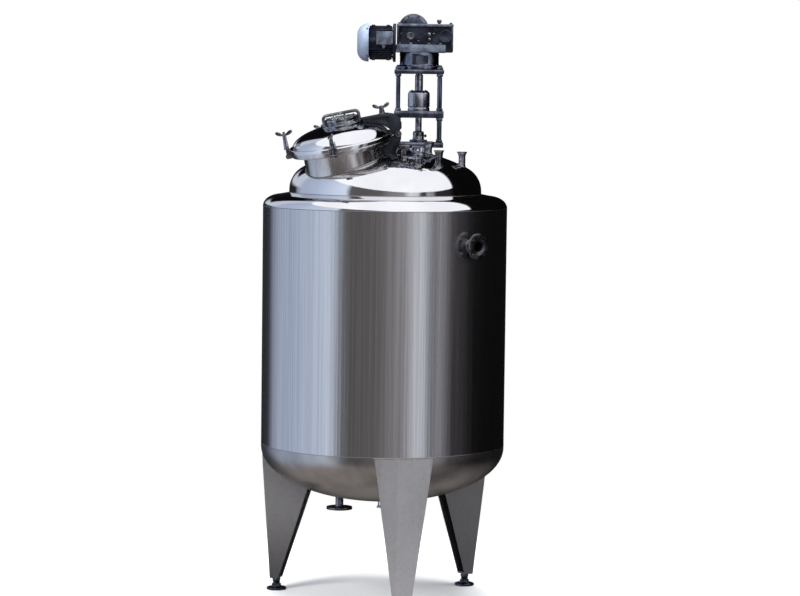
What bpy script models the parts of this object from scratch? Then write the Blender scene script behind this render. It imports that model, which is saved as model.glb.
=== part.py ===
"""Jacketed mixing tank on three legs, with a tilted manhole and a top-mounted mixer drive.

Metres, +Z up. The tank's axis is the world Z axis and the floor is z = 0.
The front of the tank faces -Y.
"""
import math

import bmesh
import bpy
import numpy as np
from mathutils import Matrix, Vector

# Gaps and facet counts
GAP = 0.0003
SHELL_SIDES = 48
VESSEL_SIDES = 48
NECK_SIDES = 36
ROUND_SIDES = 24
PIPE_SIDES = 12
DISH_STEPS = 6

# Outer cladding
SHELL_RADIUS = 0.609
CLADDING = 0.004
BOTTOM_SEAM = 0.787
BOTTOM_SKIRT = 0.017
BOTTOM_DEPTH = 0.270
TOP_SEAM = 1.970
SHOULDER_REACH = 0.083
SHOULDER_RISE = 0.058
SHOULDER_LIP = 0.004

# Inner vessel
VESSEL_RADIUS = 0.479
VESSEL_WALL = 0.005
VESSEL_BOTTOM = 0.800
VESSEL_TOP = 2.0342
VESSEL_DISH_DEPTH = 0.235
ROOF_SEAM = 2.052
ROOF_KNUCKLE = 0.130
ROOF_HEIGHT = 0.213

# Legs
LEG_ANGLES = {"front": 10.5, "right": 130.5, "left": -109.5}
LEG_PLATE = 0.005
LEG_FOOT_Z = 0.062
LEG_TOP_Z = BOTTOM_SEAM - 0.004
LEG_FOOT_FACE = 0.588
LEG_TOP_FACE = SHELL_RADIUS + LEG_PLATE
LEG_FOOT_WIDTH = 0.088
LEG_TOP_WIDTH = 0.300
LEG_FOOT_DEPTH = 0.042
LEG_TOP_DEPTH = 0.310
LEG_CONVERGE = 0.36
LEG_SOLE = 0.010
PAD_RADIUS = 0.050
PAD_EDGE = 0.011
PAD_HEIGHT = 0.020
STUD_RADIUS = 0.022

# Manhole: its joint plane leans towards the front left
MANHOLE_CENTRE = Vector((-0.217, -0.205, 2.281))
MANHOLE_NORMAL = Vector((-0.182, -0.125, 0.975)).normalized()
NECK_RADIUS = 0.194
NECK_WALL = 0.005
FLANGE_RADIUS = 0.246
FLANGE_THICK = 0.022
LID_RADIUS = 0.256
LID_RIM = 0.022
LID_MOUTH = 0.205
LID_DOME_RADIUS = 0.238
LID_DOME = 0.080
LID_SHEET = 0.005
DRUM_SHIFT = 0.022
DRUM_RADIUS = 0.080
DRUM_BORE = 0.056
DRUM_FLANGE = 0.098
DRUM_FLANGE_TOP = 0.106
DRUM_TOP = 0.132
GLASS_RADIUS = 0.063
GLASS_SEAT = 0.118
GLASS_THICK = 0.010
HANDLE_REACH = 0.0885
HANDLE_TOP = 0.153
HANDLE_CORNER = 0.018
HANDLE_RADIUS = 0.008

# Lid hinge, at an angle around the manhole from +X towards +Y
HINGE_ANGLE = 10.0
HINGE_REACH = 0.283
HINGE_PIN = 0.008
HINGE_EYE = 0.018
BRACKET_WIDTH = 0.030
FORK_WIDTH = 0.052
FORK_SLOT = 0.032
FORK_CLEAR = 0.009
ARM_TOP = 0.110
SCREW_SETBACK = 0.057
SCREW_TOP = 0.170

# Swing bolts around the lid
BOLT_ANGLES = {"left": 184.0, "back": 110.0, "front": 263.0}
WING_TURNS = {"left": 0.0, "back": 0.0, "front": 75.0}
BOLT_REACH = LID_RADIUS + 0.012
BOLT_PIVOT = -0.0125
BOLT_RADIUS = 0.006
BOLT_EYE = 0.011
BOLT_EYE_WIDTH = 0.014
LUG_PIN = 0.005
LUG_GAP = 0.016
LUG_CHEEK = 0.008
LUG_HALF = 0.0105
TINE_REACH = LID_RADIUS + 0.0148
TINE_SPAN = 0.044
TINE_SLOT = 0.016
TINE_BOTTOM = 0.002
TINE_TOP = LID_RIM + 0.001
NUT_RADIUS = 0.013
NUT_TOPS = {"left": 0.124, "back": 0.0915, "front": 0.101}
NUT_ABOVE_ROD = 0.012
WING_SPAN = 0.084
WING_RISE = 0.034
WING_THICK = 0.005

# Closures on three of the roof's nozzles
CLAMP_RADIUS = 0.0315
CLAMP_HEIGHT = 0.019
CLAMP_WING = 0.062
CLAMP_TURN = -40.0
CAP_RADIUS = 0.036
CAP_HEIGHT = 0.027
BACK_CAP_RADIUS = 0.026
BACK_CAP_HEIGHT = 0.013

# Nozzles on the roof: place, top of the ferrule, pipe radius
FERRULE_RADIUS = 0.02525
FERRULE_THICK = 0.005
FERRULE_CONE = 0.012
PIPE_WALL = 0.002
ROOF_NOZZLES = {
    "nozzle_right": (0.380, -0.030, 2.2495, 0.017),
    "nozzle_front_right": (0.262, -0.263, 2.260, 0.019),
    "nozzle_front": (0.165, -0.300, 2.228, 0.019),
    "nozzle_centre": (0.094, -0.226, 2.266, 0.019),
    "nozzle_back": (0.215, 0.020, 2.285, 0.016),
}

# Side and bottom nozzles
SIDE_ANGLE = 43.6
SIDE_HEIGHT = 1.802
SIDE_FACE = 0.662
SIDE_PIPE = 0.030
SIDE_WALL = 0.004
SIDE_ROOT = 0.020
SIDE_FLANGE = 0.0625
SIDE_FLANGE_THICK = 0.014
DRAIN_PLACE = (-0.213, 0.030)
DRAIN_PIPE = 0.020
DRAIN_FACE = 0.440
DRAIN_TOP = 0.535
DRAIN_FLANGE = 0.065
DRAIN_FLANGE_THICK = 0.014
OUTLET_PIPE = 0.019
OUTLET_FACE = 0.455

# Mixer drive
MIXER_X = 0.163
MIXER_Y = 0.245
SHAFT_RADIUS = 0.0165
SHAFT_BORE = 0.0175
SHAFT_FOOT = 0.900
COLLAR_RADIUS = 0.0205
DRIVE_NECK_RADIUS = 0.060
DRIVE_NECK_WALL = 0.005
DRIVE_NECK_LOW = 2.10
BASE_Z = 2.264
BASE_THICK = 0.026
PLATE_SIDE = 0.250
POST_OFFSET = 0.105
POST_RADIUS = 0.011
SEAL_RADIUS = 0.0285
SEAL_FLANGE = 0.045
SEAL_FLANGE_THICK = 0.012
SEAL_TOP = 2.345
BEARING_PLATE_Z = 2.413
BEARING_PLATE_THICK = 0.035
BEARING_RADIUS = 0.0555
BEARING_TOP = 2.551
TOP_PLATE_Z = 2.635
TOP_PLATE_THICK = 0.020
LANTERN_FLANGE = 0.112
LANTERN_FLANGE_THICK = 0.018
LANTERN_RADIUS = 0.100
LANTERN_TOP = 2.742
GEAR_LEFT = 0.048
GEAR_RIGHT = 0.332
GEAR_DEPTH = 0.160
GEAR_TOP = 2.884
GEAR_FLANGE = 0.039
GEAR_FLANGE_LIP = 0.012
HUMP_X = 0.131
HUMP_Z = 2.860
HUMP_RADIUS = 0.076
HUMP_HALF = 0.068
COVER_X = 0.294
COVER_Z = 2.823
COVER_RADIUS = 0.034
COVER_PROUD = 0.009
PLUG_X = 0.116
PLUG_RADIUS = 0.021
PLUG_PROUD = 0.006
MOTOR_SEAT = 0.004
MOTOR_Z = 2.790
MOTOR_RADIUS = 0.086
MOTOR_FLANGE = 0.097
MOTOR_FLANGE_THICK = 0.014
MOTOR_BACK = -0.0935
COWL_RADIUS = 0.0965
COWL_END = -0.152
BOX_LOW = Vector((-0.053, 0.123, 2.780))
BOX_HIGH = Vector((0.028, 0.195, 2.843))

# Propeller
HUB_RADIUS = 0.032
HUB_BOTTOM = 0.915
HUB_TOP = 0.985
BLADE_TIP = 0.135
BLADE_WIDTH = 0.075
BLADE_THICK = 0.005
BLADE_PITCH = 35.0


def clear_scene():
    for item in list(bpy.data.objects):
        bpy.data.objects.remove(item, do_unlink=True)


def make_finish(name, colour, metallic, roughness, alpha=1.0):
    finish = bpy.data.materials.new(name)
    finish.use_nodes = True
    shader = finish.node_tree.nodes["Principled BSDF"]
    shader.inputs["Base Color"].default_value = (*colour, 1.0)
    shader.inputs["Metallic"].default_value = metallic
    shader.inputs["Roughness"].default_value = roughness
    shader.inputs["Alpha"].default_value = alpha
    return finish


def place_mesh(name, mesh_data, finish, place=None, crease=35.0):
    """Turn a bmesh into a named object, closed and facing out, at its place."""
    bmesh.ops.remove_doubles(mesh_data, verts=mesh_data.verts, dist=1e-6)
    bmesh.ops.recalc_face_normals(mesh_data, faces=mesh_data.faces)
    mesh = bpy.data.meshes.new(name)
    mesh_data.to_mesh(mesh)
    mesh_data.free()
    mesh.shade_smooth()
    mesh.set_sharp_from_angle(angle=math.radians(crease))
    if finish is not None:
        mesh.materials.append(finish)
    item = bpy.data.objects.new(name, mesh)
    bpy.context.scene.collection.objects.link(item)
    item.matrix_world = place if place is not None else Matrix.Identity(4)
    return item


def frame_at(origin, x_axis, y_axis, z_axis):
    """A matrix whose columns are the three axes, moved to the origin given."""
    turn = Matrix((x_axis, y_axis, z_axis)).transposed().to_4x4()
    return Matrix.Translation(origin) @ turn


def turned(name, profile, sides, finish, place=None):
    """Revolve a closed outline of (radius, height) points about local Z."""
    angles = np.arange(sides) * 2.0 * math.pi / sides
    shape = bmesh.new()
    rings = []
    for radius, height in profile:
        if radius < 1e-9:
            rings.append([shape.verts.new((0.0, 0.0, height))])
        else:
            ring = [(radius * math.cos(a), radius * math.sin(a), height) for a in angles]
            rings.append([shape.verts.new(point) for point in ring])
    for low, high in zip(rings, rings[1:] + rings[:1]):
        if len(low) == 1 and len(high) == 1:
            continue
        for step in range(sides):
            after = (step + 1) % sides
            if len(low) == 1:
                corners = (low[0], high[after], high[step])
            elif len(high) == 1:
                corners = (low[step], low[after], high[0])
            else:
                corners = (low[step], low[after], high[after], high[step])
            shape.faces.new(corners)
    return place_mesh(name, shape, finish, place)


def block(name, low, high, finish, place=None, bevel=0.0):
    """A box between two corners, with its edges rounded off by a Bevel."""
    shape = bmesh.new()
    bmesh.ops.create_cube(shape, size=1.0)
    centre = (Vector(low) + Vector(high)) / 2
    size = Vector(high) - Vector(low)
    bmesh.ops.scale(shape, vec=size, verts=shape.verts)
    bmesh.ops.translate(shape, vec=centre, verts=shape.verts)
    item = place_mesh(name, shape, finish, place)
    if bevel > 0.0:
        rounding = item.modifiers.new("rounded edges", "BEVEL")
        rounding.width = bevel
        rounding.segments = 2
        rounding.limit_method = "ANGLE"
    return item


def prism(name, outline, depth, finish, place=None):
    """Extrude an outline in local X and Z, half the depth each way along local Y."""
    shape = bmesh.new()
    near = [shape.verts.new((x, -depth / 2, z)) for x, z in outline]
    far = [shape.verts.new((x, depth / 2, z)) for x, z in outline]
    shape.faces.new(near)
    shape.faces.new(list(reversed(far)))
    count = len(outline)
    for step in range(count):
        after = (step + 1) % count
        shape.faces.new((near[step], far[step], far[after], near[after]))
    return place_mesh(name, shape, finish, place)


def swept_bar(name, path, radius, sides, finish, place=None):
    """Carry a circle along a path in the local X and Z plane, with flat ends."""
    points = np.array(path, dtype=float)
    along = np.gradient(points, axis=0)
    along /= np.linalg.norm(along, axis=1)[:, None]
    shape = bmesh.new()
    rings = []
    for (x, z), (tx, tz) in zip(points, along):
        ring = []
        for step in range(sides):
            angle = 2.0 * math.pi * step / sides
            side = radius * math.cos(angle)
            ring.append(shape.verts.new((x - tz * side, radius * math.sin(angle), z + tx * side)))
        rings.append(ring)
    for low, high in zip(rings, rings[1:]):
        for step in range(sides):
            after = (step + 1) % sides
            shape.faces.new((low[step], low[after], high[after], high[step]))
    shape.faces.new(rings[0])
    shape.faces.new(list(reversed(rings[-1])))
    return place_mesh(name, shape, finish, place)


def boolean(target, tool, operation):
    step = target.modifiers.new(tool.name, "BOOLEAN")
    step.operation = operation
    step.solver = "EXACT"
    step.object = tool
    tool.hide_render = True
    tool.hide_viewport = False
    tool.display_type = "WIRE"


def cut(target, *tools):
    for tool in tools:
        boolean(target, tool, "DIFFERENCE")


def weld(target, *tools):
    for tool in tools:
        boolean(target, tool, "UNION")


def hang_on(axis, *items):
    """Parent items to an axis empty and leave them where they are."""
    bpy.context.view_layer.update()
    for item in items:
        kept = item.matrix_world.copy()
        item.parent = axis
        item.matrix_parent_inverse = axis.matrix_world.inverted()
        item.matrix_world = kept


def axis_empty(name, place):
    axis = bpy.data.objects.new(name, None)
    bpy.context.scene.collection.objects.link(axis)
    axis.matrix_world = place
    return axis


def dish_arc(radius, depth, seam, steps=DISH_STEPS):
    """Points of a quarter ellipse from the rim at the seam to the pole on the axis."""
    turns = np.linspace(0.0, math.pi / 2, steps + 1)
    arc = [(radius * math.cos(t), seam + depth * math.sin(t)) for t in turns]
    arc[-1] = (0.0, seam + depth)
    return arc


def around(angle):
    """Unit vector at an angle to the right of the tank's front."""
    turn = math.radians(angle)
    return Vector((math.sin(turn), -math.cos(turn), 0.0))


def manhole_axes(angle):
    """Outward, sideways and upward unit vectors at an angle around the manhole."""
    first = (Vector((1, 0, 0)) - MANHOLE_NORMAL.x * MANHOLE_NORMAL).normalized()
    second = MANHOLE_NORMAL.cross(first)
    turn = math.radians(angle)
    outward = math.cos(turn) * first + math.sin(turn) * second
    return outward, MANHOLE_NORMAL.cross(outward), MANHOLE_NORMAL


def manhole_place(angle, reach=0.0):
    outward, sideways, upward = manhole_axes(angle)
    return frame_at(MANHOLE_CENTRE + outward * reach, outward, sideways, upward)


def cylinder_tool(name, radius, low, high, sides, place=None):
    outline = [(0.0, low), (radius, low), (radius, high), (0.0, high)]
    return turned(name, outline, sides, None, place)


def roof_curve():
    """The roof's two arcs: knuckle centre radius, crown radius, crown centre height, lean."""
    knuckle_centre = VESSEL_RADIUS - ROOF_KNUCKLE
    crown = (knuckle_centre ** 2 + ROOF_HEIGHT ** 2 - ROOF_KNUCKLE ** 2)
    crown /= 2 * (ROOF_HEIGHT - ROOF_KNUCKLE)
    lean = math.asin(knuckle_centre / (crown - ROOF_KNUCKLE))
    return knuckle_centre, crown, ROOF_SEAM + ROOF_HEIGHT - crown, lean


def roof_arc(offset=0.0):
    """The roof's line from its rim to its centre: a knuckle, then a crown, moved out."""
    knuckle_centre, crown, crown_centre, lean = roof_curve()
    knuckle = ROOF_KNUCKLE + offset
    line = [(knuckle_centre + knuckle * math.cos(t), ROOF_SEAM + knuckle * math.sin(t))
            for t in np.linspace(0.0, math.pi / 2 - lean, 5)]
    crown += offset
    line += [(crown * math.sin(t), crown_centre + crown * math.cos(t))
             for t in np.linspace(lean, 0.0, 5)[1:-1]]
    return line + [(0.0, crown_centre + crown)]


def roof_height(x, y):
    knuckle_centre, crown, crown_centre, lean = roof_curve()
    radius = math.hypot(x, y)
    if radius < crown * math.sin(lean):
        return crown_centre + math.sqrt(crown ** 2 - radius ** 2)
    return ROOF_SEAM + math.sqrt(ROOF_KNUCKLE ** 2 - (radius - knuckle_centre) ** 2)


def roof_tool(name):
    """The roof's solid with everything under it, a gap larger, for seating necks on it."""
    outline = [(0.0, 1.5), (VESSEL_RADIUS + GAP, 1.5)] + roof_arc(GAP)
    return turned(name, outline, SHELL_SIDES, None)


def build_cladding(sheet):
    inner = SHELL_RADIUS - CLADDING
    shell_outline = [
        (inner, BOTTOM_SEAM), (SHELL_RADIUS, BOTTOM_SEAM),
        (SHELL_RADIUS, TOP_SEAM), (inner, TOP_SEAM),
    ]
    shell = turned("outer_shell", shell_outline, SHELL_SIDES, sheet)

    knuckle_low = TOP_SEAM + GAP
    turns = np.radians([0, 18, 36, 54, 72, 84])
    middle = SHELL_RADIUS - SHOULDER_REACH
    outer = [(middle + SHOULDER_REACH * math.cos(t), knuckle_low + SHOULDER_RISE * math.sin(t))
             for t in turns]
    reach = SHOULDER_REACH - CLADDING
    rise = SHOULDER_RISE - CLADDING
    inside = [(middle + reach * math.cos(t), knuckle_low + rise * math.sin(t)) for t in turns]
    lip = VESSEL_RADIUS + GAP
    shoulder_outline = outer + [(lip, VESSEL_TOP + SHOULDER_LIP), (lip, VESSEL_TOP)]
    turned("top_shoulder", shoulder_outline + inside[::-1], SHELL_SIDES, sheet)

    seam = BOTTOM_SEAM - GAP
    skirt = BOTTOM_SEAM - BOTTOM_SKIRT
    dish_outline = [(SHELL_RADIUS, seam)] + dish_arc(SHELL_RADIUS, -BOTTOM_DEPTH, skirt)
    dish_outline += dish_arc(inner, CLADDING - BOTTOM_DEPTH, skirt)[::-1] + [(inner, seam)]
    dish = turned("outer_bottom_dish", dish_outline, SHELL_SIDES, sheet)
    return shell, dish


def build_vessel(sheet):
    inner = VESSEL_RADIUS - VESSEL_WALL
    wall_outline = [
        (inner, VESSEL_BOTTOM), (VESSEL_RADIUS, VESSEL_BOTTOM),
        (VESSEL_RADIUS, VESSEL_TOP), (inner, VESSEL_TOP),
    ]
    turned("inner_vessel", wall_outline, VESSEL_SIDES, sheet)

    seam = VESSEL_BOTTOM - GAP
    dish_outline = dish_arc(VESSEL_RADIUS, -VESSEL_DISH_DEPTH, seam)
    dish_outline += dish_arc(inner, VESSEL_WALL - VESSEL_DISH_DEPTH, seam)[::-1]
    bottom = turned("inner_bottom_dish", dish_outline, NECK_SIDES, sheet)

    low = VESSEL_TOP + GAP
    roof_outline = [(VESSEL_RADIUS, low)] + roof_arc() + roof_arc(-VESSEL_WALL)[::-1]
    roof_outline += [(inner, low)]
    roof = turned("top_dish", roof_outline, SHELL_SIDES, sheet)
    cut(roof, cylinder_tool("manhole_hole", NECK_RADIUS - NECK_WALL - 0.0015, -0.30, 0.10,
                            NECK_SIDES, manhole_place(0.0)))
    mixer_place = Matrix.Translation((MIXER_X, MIXER_Y, 0.0))
    cut(roof, cylinder_tool("mixer_hole", DRIVE_NECK_RADIUS - DRIVE_NECK_WALL, 2.0, 2.4,
                            ROUND_SIDES, mixer_place))
    return bottom, roof


def ferrule_outline(pipe, low, top):
    """A pipe stub with a clamp ferrule at its upper end, bored through."""
    bore = pipe - PIPE_WALL
    return [
        (bore, low), (pipe, low), (pipe, top - FERRULE_THICK - FERRULE_CONE),
        (FERRULE_RADIUS, top - FERRULE_THICK), (FERRULE_RADIUS, top), (bore, top),
    ]


def build_roof_nozzles(roof, polished):
    for name, (x, y, top, pipe) in ROOF_NOZZLES.items():
        place = Matrix.Translation((x, y, 0.0))
        low = roof_height(x, y) - 0.030
        turned(name, ferrule_outline(pipe, low, top), PIPE_SIDES, polished, place)
        cut(roof, cylinder_tool(name + "_hole", pipe + GAP, low - 0.05, top + 0.05,
                                PIPE_SIDES, place))


def build_closures(polished, dark):
    """Blind ferrules held by clamps on three roof nozzles."""
    x, y, top, pipe = ROOF_NOZZLES["nozzle_front"]
    face = top + GAP
    clamp_outline = [
        (0.0, face), (CLAMP_RADIUS - 0.0045, face), (CLAMP_RADIUS, face + 0.003),
        (CLAMP_RADIUS, face + 0.013), (CLAMP_RADIUS - 0.0075, face + CLAMP_HEIGHT),
        (0.0, face + CLAMP_HEIGHT),
    ]
    place = Matrix.Translation((x, y, 0.0))
    clamp = turned("clamp_front", clamp_outline, ROUND_SIDES, polished, place)
    wing_place = place @ Matrix.Rotation(math.radians(CLAMP_TURN), 4, "Z")
    wing = block("clamp_front_wing", (CLAMP_RADIUS - 0.0035, -0.004, face + 0.002),
                 (CLAMP_WING, 0.004, face + 0.014), None, wing_place)
    weld(clamp, wing)

    x, y, top, pipe = ROOF_NOZZLES["nozzle_centre"]
    face = top + GAP
    cap_outline = [
        (0.0, face), (CAP_RADIUS - 0.006, face), (CAP_RADIUS, face + 0.004),
        (CAP_RADIUS, face + 0.014), (CAP_RADIUS - 0.008, face + 0.018), (0.016, face + 0.018),
        (0.016, face + CAP_HEIGHT), (0.0, face + CAP_HEIGHT),
    ]
    turned("clamp_centre", cap_outline, ROUND_SIDES, dark, Matrix.Translation((x, y, 0.0)))

    x, y, top, pipe = ROOF_NOZZLES["nozzle_back"]
    face = top + GAP
    plug_outline = [
        (0.0, face), (BACK_CAP_RADIUS, face), (BACK_CAP_RADIUS, face + 0.009),
        (BACK_CAP_RADIUS - 0.008, face + BACK_CAP_HEIGHT), (0.0, face + BACK_CAP_HEIGHT),
    ]
    turned("cap_back", plug_outline, ROUND_SIDES, dark, Matrix.Translation((x, y, 0.0)))


def build_body_nozzles(shell, dish, bottom, polished):
    outward = around(SIDE_ANGLE)
    upward = Vector((0, 0, 1))
    side_place = frame_at((0, 0, SIDE_HEIGHT), upward, outward.cross(upward), outward)
    bore = SIDE_PIPE - SIDE_WALL
    inner_end = SHELL_RADIUS - SIDE_ROOT
    side_outline = [
        (bore, inner_end), (SIDE_PIPE, inner_end), (SIDE_PIPE, SIDE_FACE - SIDE_FLANGE_THICK),
        (SIDE_FLANGE, SIDE_FACE - SIDE_FLANGE_THICK), (SIDE_FLANGE, SIDE_FACE), (bore, SIDE_FACE),
    ]
    turned("side_nozzle", side_outline, ROUND_SIDES, polished, side_place)
    cut(shell, cylinder_tool("side_hole", SIDE_PIPE + GAP, 0.5, 0.7, ROUND_SIDES, side_place))

    drain_place = Matrix.Translation((*DRAIN_PLACE, 0.0))
    bore = DRAIN_PIPE - PIPE_WALL
    drain_outline = [
        (bore, DRAIN_FACE), (DRAIN_FLANGE, DRAIN_FACE),
        (DRAIN_FLANGE, DRAIN_FACE + DRAIN_FLANGE_THICK),
        (DRAIN_PIPE, DRAIN_FACE + DRAIN_FLANGE_THICK), (DRAIN_PIPE, DRAIN_TOP), (bore, DRAIN_TOP),
    ]
    turned("drain_nozzle", drain_outline, ROUND_SIDES, polished, drain_place)
    cut(dish, cylinder_tool("drain_hole", DRAIN_PIPE + GAP, 0.45, 0.60, ROUND_SIDES, drain_place))

    bore = OUTLET_PIPE - PIPE_WALL
    outlet_top = VESSEL_BOTTOM - VESSEL_DISH_DEPTH + 0.003
    outlet_outline = [
        (bore, OUTLET_FACE), (FERRULE_RADIUS, OUTLET_FACE),
        (FERRULE_RADIUS, OUTLET_FACE + FERRULE_THICK),
        (OUTLET_PIPE, OUTLET_FACE + 2 * FERRULE_THICK), (OUTLET_PIPE, outlet_top),
        (bore, outlet_top),
    ]
    turned("bottom_outlet", outlet_outline, PIPE_SIDES, polished)
    for target, name in ((dish, "outlet_hole"), (bottom, "vessel_outlet_hole")):
        cut(target, cylinder_tool(name, OUTLET_PIPE + GAP, 0.40, 0.62, PIPE_SIDES))


def tapered_block(name, low_z, high_z, low_size, high_size, place):
    """Six-sided block; each size is (inner edge, half width there, outer edge, half width)."""
    shape = bmesh.new()
    rings = []
    for height, (inner, inner_half, outer, outer_half) in ((low_z, low_size), (high_z, high_size)):
        corners = ((inner, -inner_half), (outer, -outer_half),
                   (outer, outer_half), (inner, inner_half))
        rings.append([shape.verts.new((x, y, height)) for x, y in corners])
    low, high = rings
    shape.faces.new(low[::-1])
    shape.faces.new(high)
    for step in range(4):
        after = (step + 1) % 4
        shape.faces.new((low[step], low[after], high[after], high[step]))
    return place_mesh(name, shape, None, place)


def leg_size(height, beyond, inset=0.0):
    """A leg's plan at a height: its side plates run beyond both edges and converge inwards."""
    share = (height - LEG_FOOT_Z) / (LEG_TOP_Z - LEG_FOOT_Z)
    face = LEG_FOOT_FACE + (LEG_TOP_FACE - LEG_FOOT_FACE) * share
    depth = LEG_FOOT_DEPTH + (LEG_TOP_DEPTH - LEG_FOOT_DEPTH) * share
    half = (LEG_FOOT_WIDTH + (LEG_TOP_WIDTH - LEG_FOOT_WIDTH) * share) / 2 - inset
    inner, outer = face - depth - beyond[0], face + beyond[1]
    return (inner, half - LEG_CONVERGE * (face - inner),
            outer, half + LEG_CONVERGE * (outer - face))


def leg_cone(name, low, high, inset):
    """Everything inside the legs' outer faces, which lean out to the shell as they rise."""
    lean = (LEG_TOP_FACE - LEG_FOOT_FACE) / (LEG_TOP_Z - LEG_FOOT_Z)
    radii = [LEG_FOOT_FACE + lean * (height - LEG_FOOT_Z) - inset for height in (low, high)]
    outline = [(0.0, low), (radii[0], low), (radii[1], high), (0.0, high)]
    return turned(name, outline, SHELL_SIDES, None)


def build_legs(sheet, polished):
    seat_outline = dish_arc(SHELL_RADIUS + GAP, -BOTTOM_DEPTH - GAP, BOTTOM_SEAM - BOTTOM_SKIRT)
    seat_outline += [(0.0, 1.0), (SHELL_RADIUS + GAP, 1.0)]
    reach = 0.03
    sole_top = LEG_FOOT_Z + LEG_SOLE
    cavity_top = LEG_TOP_Z + reach
    for side, angle in LEG_ANGLES.items():
        outward = around(angle)
        upward = Vector((0, 0, 1))
        place = frame_at((0, 0, 0), outward, upward.cross(outward), upward)
        sizes = [leg_size(height, (0.0, reach)) for height in (LEG_FOOT_Z, LEG_TOP_Z)]
        leg = tapered_block("leg_" + side, LEG_FOOT_Z, LEG_TOP_Z, *sizes, place)
        leg.data.materials.append(sheet)
        cone = leg_cone("leg_face_" + side, LEG_FOOT_Z - reach, cavity_top + reach, 0.0)
        boolean(leg, cone, "INTERSECT")
        sizes = [leg_size(height, (reach, reach), LEG_PLATE) for height in (sole_top, cavity_top)]
        cavity = tapered_block("leg_cavity_" + side, sole_top, cavity_top, *sizes, place)
        inside = leg_cone("leg_inside_" + side, LEG_FOOT_Z, cavity_top + reach, LEG_PLATE)
        boolean(cavity, inside, "INTERSECT")
        cut(leg, cavity)
        cut(leg, turned("leg_seat_" + side, seat_outline, SHELL_SIDES, None))

        foot_outline = [
            (0.0, 0.0), (PAD_RADIUS, 0.0), (PAD_RADIUS, PAD_EDGE), (STUD_RADIUS, PAD_HEIGHT),
            (STUD_RADIUS, LEG_FOOT_Z - GAP), (0.0, LEG_FOOT_Z - GAP),
        ]
        turned("foot_" + side, foot_outline, ROUND_SIDES, polished,
               Matrix.Translation(outward * (LEG_FOOT_FACE - LEG_FOOT_DEPTH / 2)))


def build_neck(sheet):
    """Manhole neck, its flange, and the lugs and pins that the swing bolts turn on."""
    outline = [
        (NECK_RADIUS - NECK_WALL, -0.30), (NECK_RADIUS, -0.30), (NECK_RADIUS, -FLANGE_THICK),
        (FLANGE_RADIUS, -FLANGE_THICK), (FLANGE_RADIUS, 0.0), (NECK_RADIUS - NECK_WALL, 0.0),
    ]
    neck = turned("manhole_neck", outline, NECK_SIDES, sheet, manhole_place(0.0))
    cut(neck, roof_tool("neck_seat"))
    for side, angle in BOLT_ANGLES.items():
        place = manhole_place(angle)
        for sign in (-1, 1):
            near = sign * LUG_GAP / 2
            far = sign * (LUG_GAP / 2 + LUG_CHEEK)
            low = (FLANGE_RADIUS - 0.008, min(near, far), BOLT_PIVOT - LUG_HALF)
            high = (BOLT_REACH + LUG_HALF, max(near, far), BOLT_PIVOT + LUG_HALF)
            weld(neck, block(f"lug_{side}_{sign + 1}", low, high, None, place))
        outward, sideways, upward = manhole_axes(angle)
        centre = MANHOLE_CENTRE + outward * BOLT_REACH + upward * BOLT_PIVOT
        pin_place = frame_at(centre, upward, outward, sideways)
        half = LUG_GAP / 2 + LUG_CHEEK + 0.003
        weld(neck, cylinder_tool("lug_pin_" + side, LUG_PIN, -half, half, PIPE_SIDES, pin_place))


def build_hinge_bracket(dark):
    """Deep plate from the roof and the neck out under the flange to an eye, with its pin."""
    outward, sideways, upward = manhole_axes(HINGE_ANGLE)
    place = manhole_place(HINGE_ANGLE, HINGE_REACH)
    turns = np.radians(np.linspace(-20, 200, 12))
    outline = [(HINGE_EYE * math.cos(t), HINGE_EYE * math.sin(t)) for t in turns]
    flange_side = FLANGE_RADIUS + 0.0005 - HINGE_REACH
    neck_side = NECK_RADIUS + GAP - HINGE_REACH
    outline += [(flange_side, -0.007), (flange_side, -FLANGE_THICK - 0.002), (neck_side, -0.045)]
    outline += [(neck_side, -0.13), (-0.028, -0.13), (-0.018, -0.075), (0.012, -0.030)]
    bracket = prism("hinge_bracket", outline, BRACKET_WIDTH, dark, place)
    cut(bracket, roof_tool("bracket_seat"))
    pin_place = frame_at(MANHOLE_CENTRE + outward * HINGE_REACH, upward, outward, sideways)
    half = FORK_WIDTH / 2 + 0.006
    weld(bracket, cylinder_tool("hinge_pin", HINGE_PIN, -half, half, PIPE_SIDES, pin_place))


def lid_height(radius):
    return LID_RIM + LID_DOME * math.sqrt(1.0 - (radius / LID_DOME_RADIUS) ** 2)


def lid_outline(offset):
    """Outer line of the lid from its rim to its centre, moved out by an offset."""
    radii = [LID_DOME_RADIUS * math.cos(t) for t in np.linspace(0.0, math.pi / 2, 6)]
    line = [(LID_RADIUS + offset, 0.0), (LID_RADIUS + offset, LID_RIM + offset)]
    line += [(radius, lid_height(radius) + offset) for radius in radii[:-1]]
    return line + [(0.0, LID_RIM + LID_DOME + offset)]


def lid_tool(name):
    """The lid filled in and a gap larger, for seating pieces on its outer face."""
    outline = [(0.0, -0.05), (LID_RADIUS + GAP, -0.05)] + lid_outline(GAP)[1:]
    return turned(name, outline, NECK_SIDES, None, manhole_place(HINGE_ANGLE))


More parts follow.
